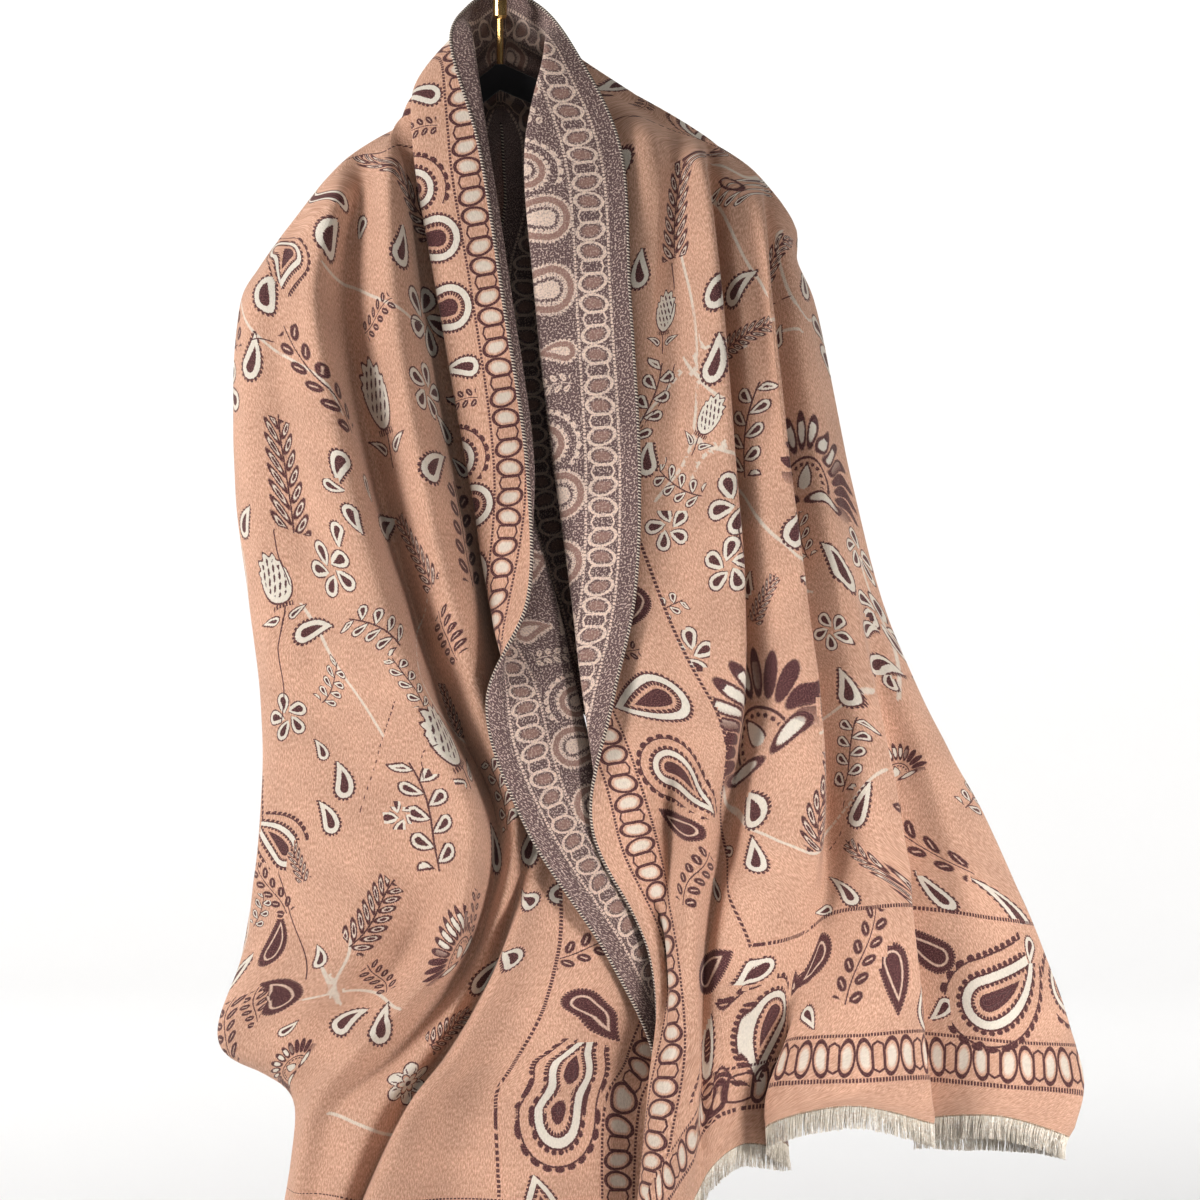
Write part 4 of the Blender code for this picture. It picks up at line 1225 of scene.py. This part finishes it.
def clothMaterial(name, group, face):
    material, tree, shader = freshMaterial(name, {
        "Roughness": 0.93, "Specular IOR Level": 0.18, "Sheen Weight": 0.32,
        "Sheen Roughness": 0.45, "Sheen Tint": (1.0, 0.86, 0.76, 1.0)})
    flat = millimetres(tree)
    node = tree.nodes.new("ShaderNodeGroup")
    node.node_tree = group
    node.inputs[0].default_value = 1.1 if face else 2.4
    plum = Amount(tree, node.outputs[0])
    ivory = Amount(tree, node.outputs[1])
    nap = noise(tree, stretch(tree, flat, 1.15, 0.42), 0.85, 3.0, roughness=0.62)
    fleck = noise(tree, flat, 1.05 if face else 0.7, 1.0)
    cloud = noise(tree, flat, 0.021, 2.0)
    if face:
        ground = mix(tree, nap.above(0.36, 3.2), yarn["peach"], yarn["peachPale"])
        dark = mix(tree, fleck.above(0.47, 5.0), yarn["plum"], yarn["plumPale"])
        colour = mix(tree, ivory, ground, yarn["ivory"])
        colour = mix(tree, plum * 0.96, colour, dark)
    else:
        salt = fleck.above(0.53, 9.0)
        ground = mix(tree, salt, yarn["reverse"], yarn["reversePale"])
        fill = mix(tree, salt * 0.35, yarn["reverseFill"], yarn["reversePale"])
        line = mix(tree, (fleck * -1.0 + 0.49).join("MULTIPLY", 9.0, clamp=True),
                   yarn["reverseLine"], yarn["reversePale"])
        colour = mix(tree, ivory * 0.9, ground, fill)
        colour = mix(tree, plum, colour, line)
    shade = (cloud - 0.5).scaled(0.3, 1.0)
    grain = (nap - 0.5).scaled(0.42, 0.0)
    value = tree.nodes.new("ShaderNodeHueSaturation")
    tree.links.new((shade + grain).socket, value.inputs["Value"])
    tree.links.new(colour, value.inputs["Color"])
    tree.links.new(value.outputs[0], shader.inputs["Base Color"])
    twill = parts(tree, flat)
    rib = ((twill[0] + twill[1]) * 3.6).sine() * 0.12
    addBump(tree, shader, nap + rib, 0.55, 0.0009)
    return material


def cordMaterial(name, cord):
    material, tree, shader = freshMaterial(name, {"Roughness": 0.85})
    u, v, _ = parts(tree, readPlace(tree, "OFBake"))
    ply = (u + v).cycle(1.0).size()
    stripe = (ply - cord["darkShare"]).inside(0.12)
    tree.links.new(mix(tree, stripe, cord["dark"], cord["pale"]), shader.inputs["Base Color"])
    addBump(tree, shader, ply, 0.6, 0.0006)
    return material


def fringeMaterial():
    material, tree, shader = freshMaterial("looseWarp", {"Roughness": 0.7, "Sheen Weight": 0.2})
    point = objectPlace(tree)
    streak = noise(tree, stretch(tree, point, 1.0, 1.0), 620.0, 2.0, "3D")
    wide = noise(tree, point, 60.0, 1.0, "3D")
    colour = mix(tree, streak.above(0.4, 4.0), yarn["warp"], yarn["warpPale"])
    colour = mix(tree, wide.above(0.42, 2.4), colour, yarn["warpWarm"])
    tree.links.new(colour, shader.inputs["Base Color"])
    return material


# Colours of the hanger, linear
hangerColours = {
    "pile": (0.008, 0.0075, 0.009),
    "pileWorn": (0.022, 0.02, 0.022),
    "gold": (0.63, 0.40, 0.15),
    "goldPale": (0.80, 0.56, 0.26),
}


def velvetMaterial():
    material, tree, shader = freshMaterial("blackVelvet", {
        "Roughness": 0.95, "Sheen Weight": 0.6, "Sheen Roughness": 0.35})
    point = objectPlace(tree)
    pile = noise(tree, point, 900.0, 2.0, "3D")
    worn = noise(tree, point, 45.0, 2.0, "3D")
    colour = mix(tree, worn.above(0.35, 1.5), hangerColours["pile"], hangerColours["pileWorn"])
    tree.links.new(colour, shader.inputs["Base Color"])
    addBump(tree, shader, pile, 0.5, 0.0005)
    return material


def goldMaterial():
    material, tree, shader = freshMaterial("polishedGold", {"Metallic": 1.0})
    point = objectPlace(tree)
    smear = noise(tree, point, 70.0, 3.0, "3D")
    scratch = noise(tree, stretch(tree, point, 1.0, 6.0), 400.0, 2.0, "3D")
    colour = mix(tree, smear.above(0.3, 1.6), hangerColours["gold"], hangerColours["goldPale"])
    tree.links.new(colour, shader.inputs["Base Color"])
    rough = (smear * 0.16) + (scratch * 0.08 + 0.13)
    tree.links.new(rough.socket, shader.inputs["Roughness"])
    addBump(tree, shader, scratch, 0.15, 0.0002)
    return material


placesOf = {half["name"]: halfPlaces(half["name"]) for half in halves}
patternGroup = makePatternGroup()
faceMaterial = clothMaterial("peachFace", patternGroup, True)
reverseMaterial = clothMaterial("plumReverse", patternGroup, False)
selvageMaterial = cordMaterial("selvageCord", cords["selvage"])
hemMaterial = cordMaterial("hemThread", cords["hem"])
warpMaterial = fringeMaterial()
print("materials made")

for half in halves:
    name = half["name"]
    label = name.capitalize()
    side = half["side"]
    grid, s, t = shapedGrid(half)
    grid[0, :, 0] = 0.0
    lift = sheet["wall"] / 2
    maps = borderMaps(grid)
    face = makeLayer("shawlFace" + label, grid, s, t, maps, side, lift, faceMaterial, name)
    back = makeLayer("shawlReverse" + label, grid, s, t, maps, side, -lift, reverseMaterial, name)
    front = tube("frontSelvage" + label, grid[:, 0], cords["selvage"], selvageMaterial)
    outer = tube("outerSelvage" + label, grid[:, -1], cords["selvage"], selvageMaterial)
    hem = tube("hemThread" + label, grid[-1], cords["hem"], hemMaterial)
    threads = makeFringe("fringeThreads" + label, grid, warpMaterial)
    for piece in (face, back, front, outer, hem):
        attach(piece, "root")
    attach(threads, "root")
    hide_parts("shawl_" + name)
    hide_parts("fringe_" + name)
    print(name, "half made, rows", grid.shape[0], "points across", grid.shape[1])

velvet = velvetMaterial()
gold = goldMaterial()
for name, material in (("hanger_arms", velvet), ("hanger_hook", gold), ("hanger_ferrule", gold)):
    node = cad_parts[name]
    node.data.materials.clear()
    node.data.materials.append(material)
print("hanger finished")

# The photograph shows 0.9 m of height, seen from straight in front
view = {
    "middle": (0.075, -0.52),
    "distance": 3.5,
    "height": 0.90,
    "sensor": 36.0,
}
camera = bpy.data.objects.new("camera", bpy.data.cameras.new("camera"))
bpy.context.scene.collection.objects.link(camera)
camera.data.sensor_width = view["sensor"]
camera.data.lens = view["sensor"] * view["distance"] / view["height"]
camera.location = (view["middle"][0], -view["distance"], view["middle"][1])
camera.rotation_euler = (math.radians(90), 0, 0)
bpy.context.scene.camera = camera

# Pale floor that sweeps up behind
studio = {
    "floor": -1.075,
    "front": -6.0,
    "bend": 3.2,
    "radius": 1.6,
    "height": 4.5,
    "halfWidth": 5.0,
    "colour": (0.86, 0.855, 0.85),
    "steps": 12,
    "sky": (1.0, 0.985, 0.97, 1.0),
    "skyStrength": 0.10,
}


def makeFloor():
    profile = [(studio["front"], studio["floor"])]
    for step in range(studio["steps"] + 1):
        angle = math.radians(90 * step / studio["steps"])
        profile.append((studio["bend"] + studio["radius"] * math.sin(angle),
                        studio["floor"] + studio["radius"] * (1 - math.cos(angle))))
    profile.append((profile[-1][0], studio["height"]))
    points = [(x, y, z) for y, z in profile for x in (-studio["halfWidth"], studio["halfWidth"])]
    faces = np.array([(2 * k, 2 * k + 1, 2 * k + 3, 2 * k + 2) for k in range(len(profile) - 1)])
    material, _, _ = freshMaterial("paleFloor", {
        "Base Color": (*studio["colour"], 1.0), "Roughness": 0.9, "Specular IOR Level": 0.1})
    return link("paleFloor", meshFrom("paleFloor", points, faces), [material])


makeFloor()

# Soft lamps: name, place, aim, size, watts, spread in degrees
lamps = [
    ("windowLeft", (-3.0, -1.7, 0.4), (0.0, 0.0, -0.6), 1.1, 114.0, 180),
    ("skyFront", (0.3, -3.2, 1.6), (0.1, 0.0, -0.6), 1.4, 11.0, 180),
    ("rightLow", (1.6, -1.3, -0.95), (0.36, 0.0, -0.85), 0.6, 3.0, 40),
    ("backdropLeft", (-2.4, 1.6, 2.0), (0.0, 4.4, 0.3), 2.4, 100.0, 180),
    ("backdropRight", (2.6, 1.6, 2.0), (0.2, 4.4, 0.3), 2.4, 100.0, 180),
]
for name, place, aim, size, watts, spread in lamps:
    lamp = bpy.data.lights.new(name, "AREA")
    lamp.energy = watts
    lamp.size = size
    lamp.spread = math.radians(spread)
    holder = bpy.data.objects.new(name, lamp)
    bpy.context.scene.collection.objects.link(holder)
    holder.location = place
    toward = np.array(aim) - np.array(place)
    flatLength = math.hypot(toward[0], toward[1])
    holder.rotation_euler = (math.pi / 2 + math.atan2(toward[2], flatLength), 0.0,
                             math.atan2(toward[1], toward[0]) - math.pi / 2)

world = bpy.data.worlds.new("studio")
bpy.context.scene.world = world
world.use_nodes = True
sky = world.node_tree.nodes["Background"]
sky.inputs[0].default_value = studio["sky"]
sky.inputs[1].default_value = studio["skyStrength"]
bpy.context.scene.view_settings.view_transform = "Standard"
bpy.context.scene.view_settings.gamma = 0.88
bpy.context.scene.cycles.diffuse_bounces = 2  # light past the second bounce hardly shows here
print("studio ready")
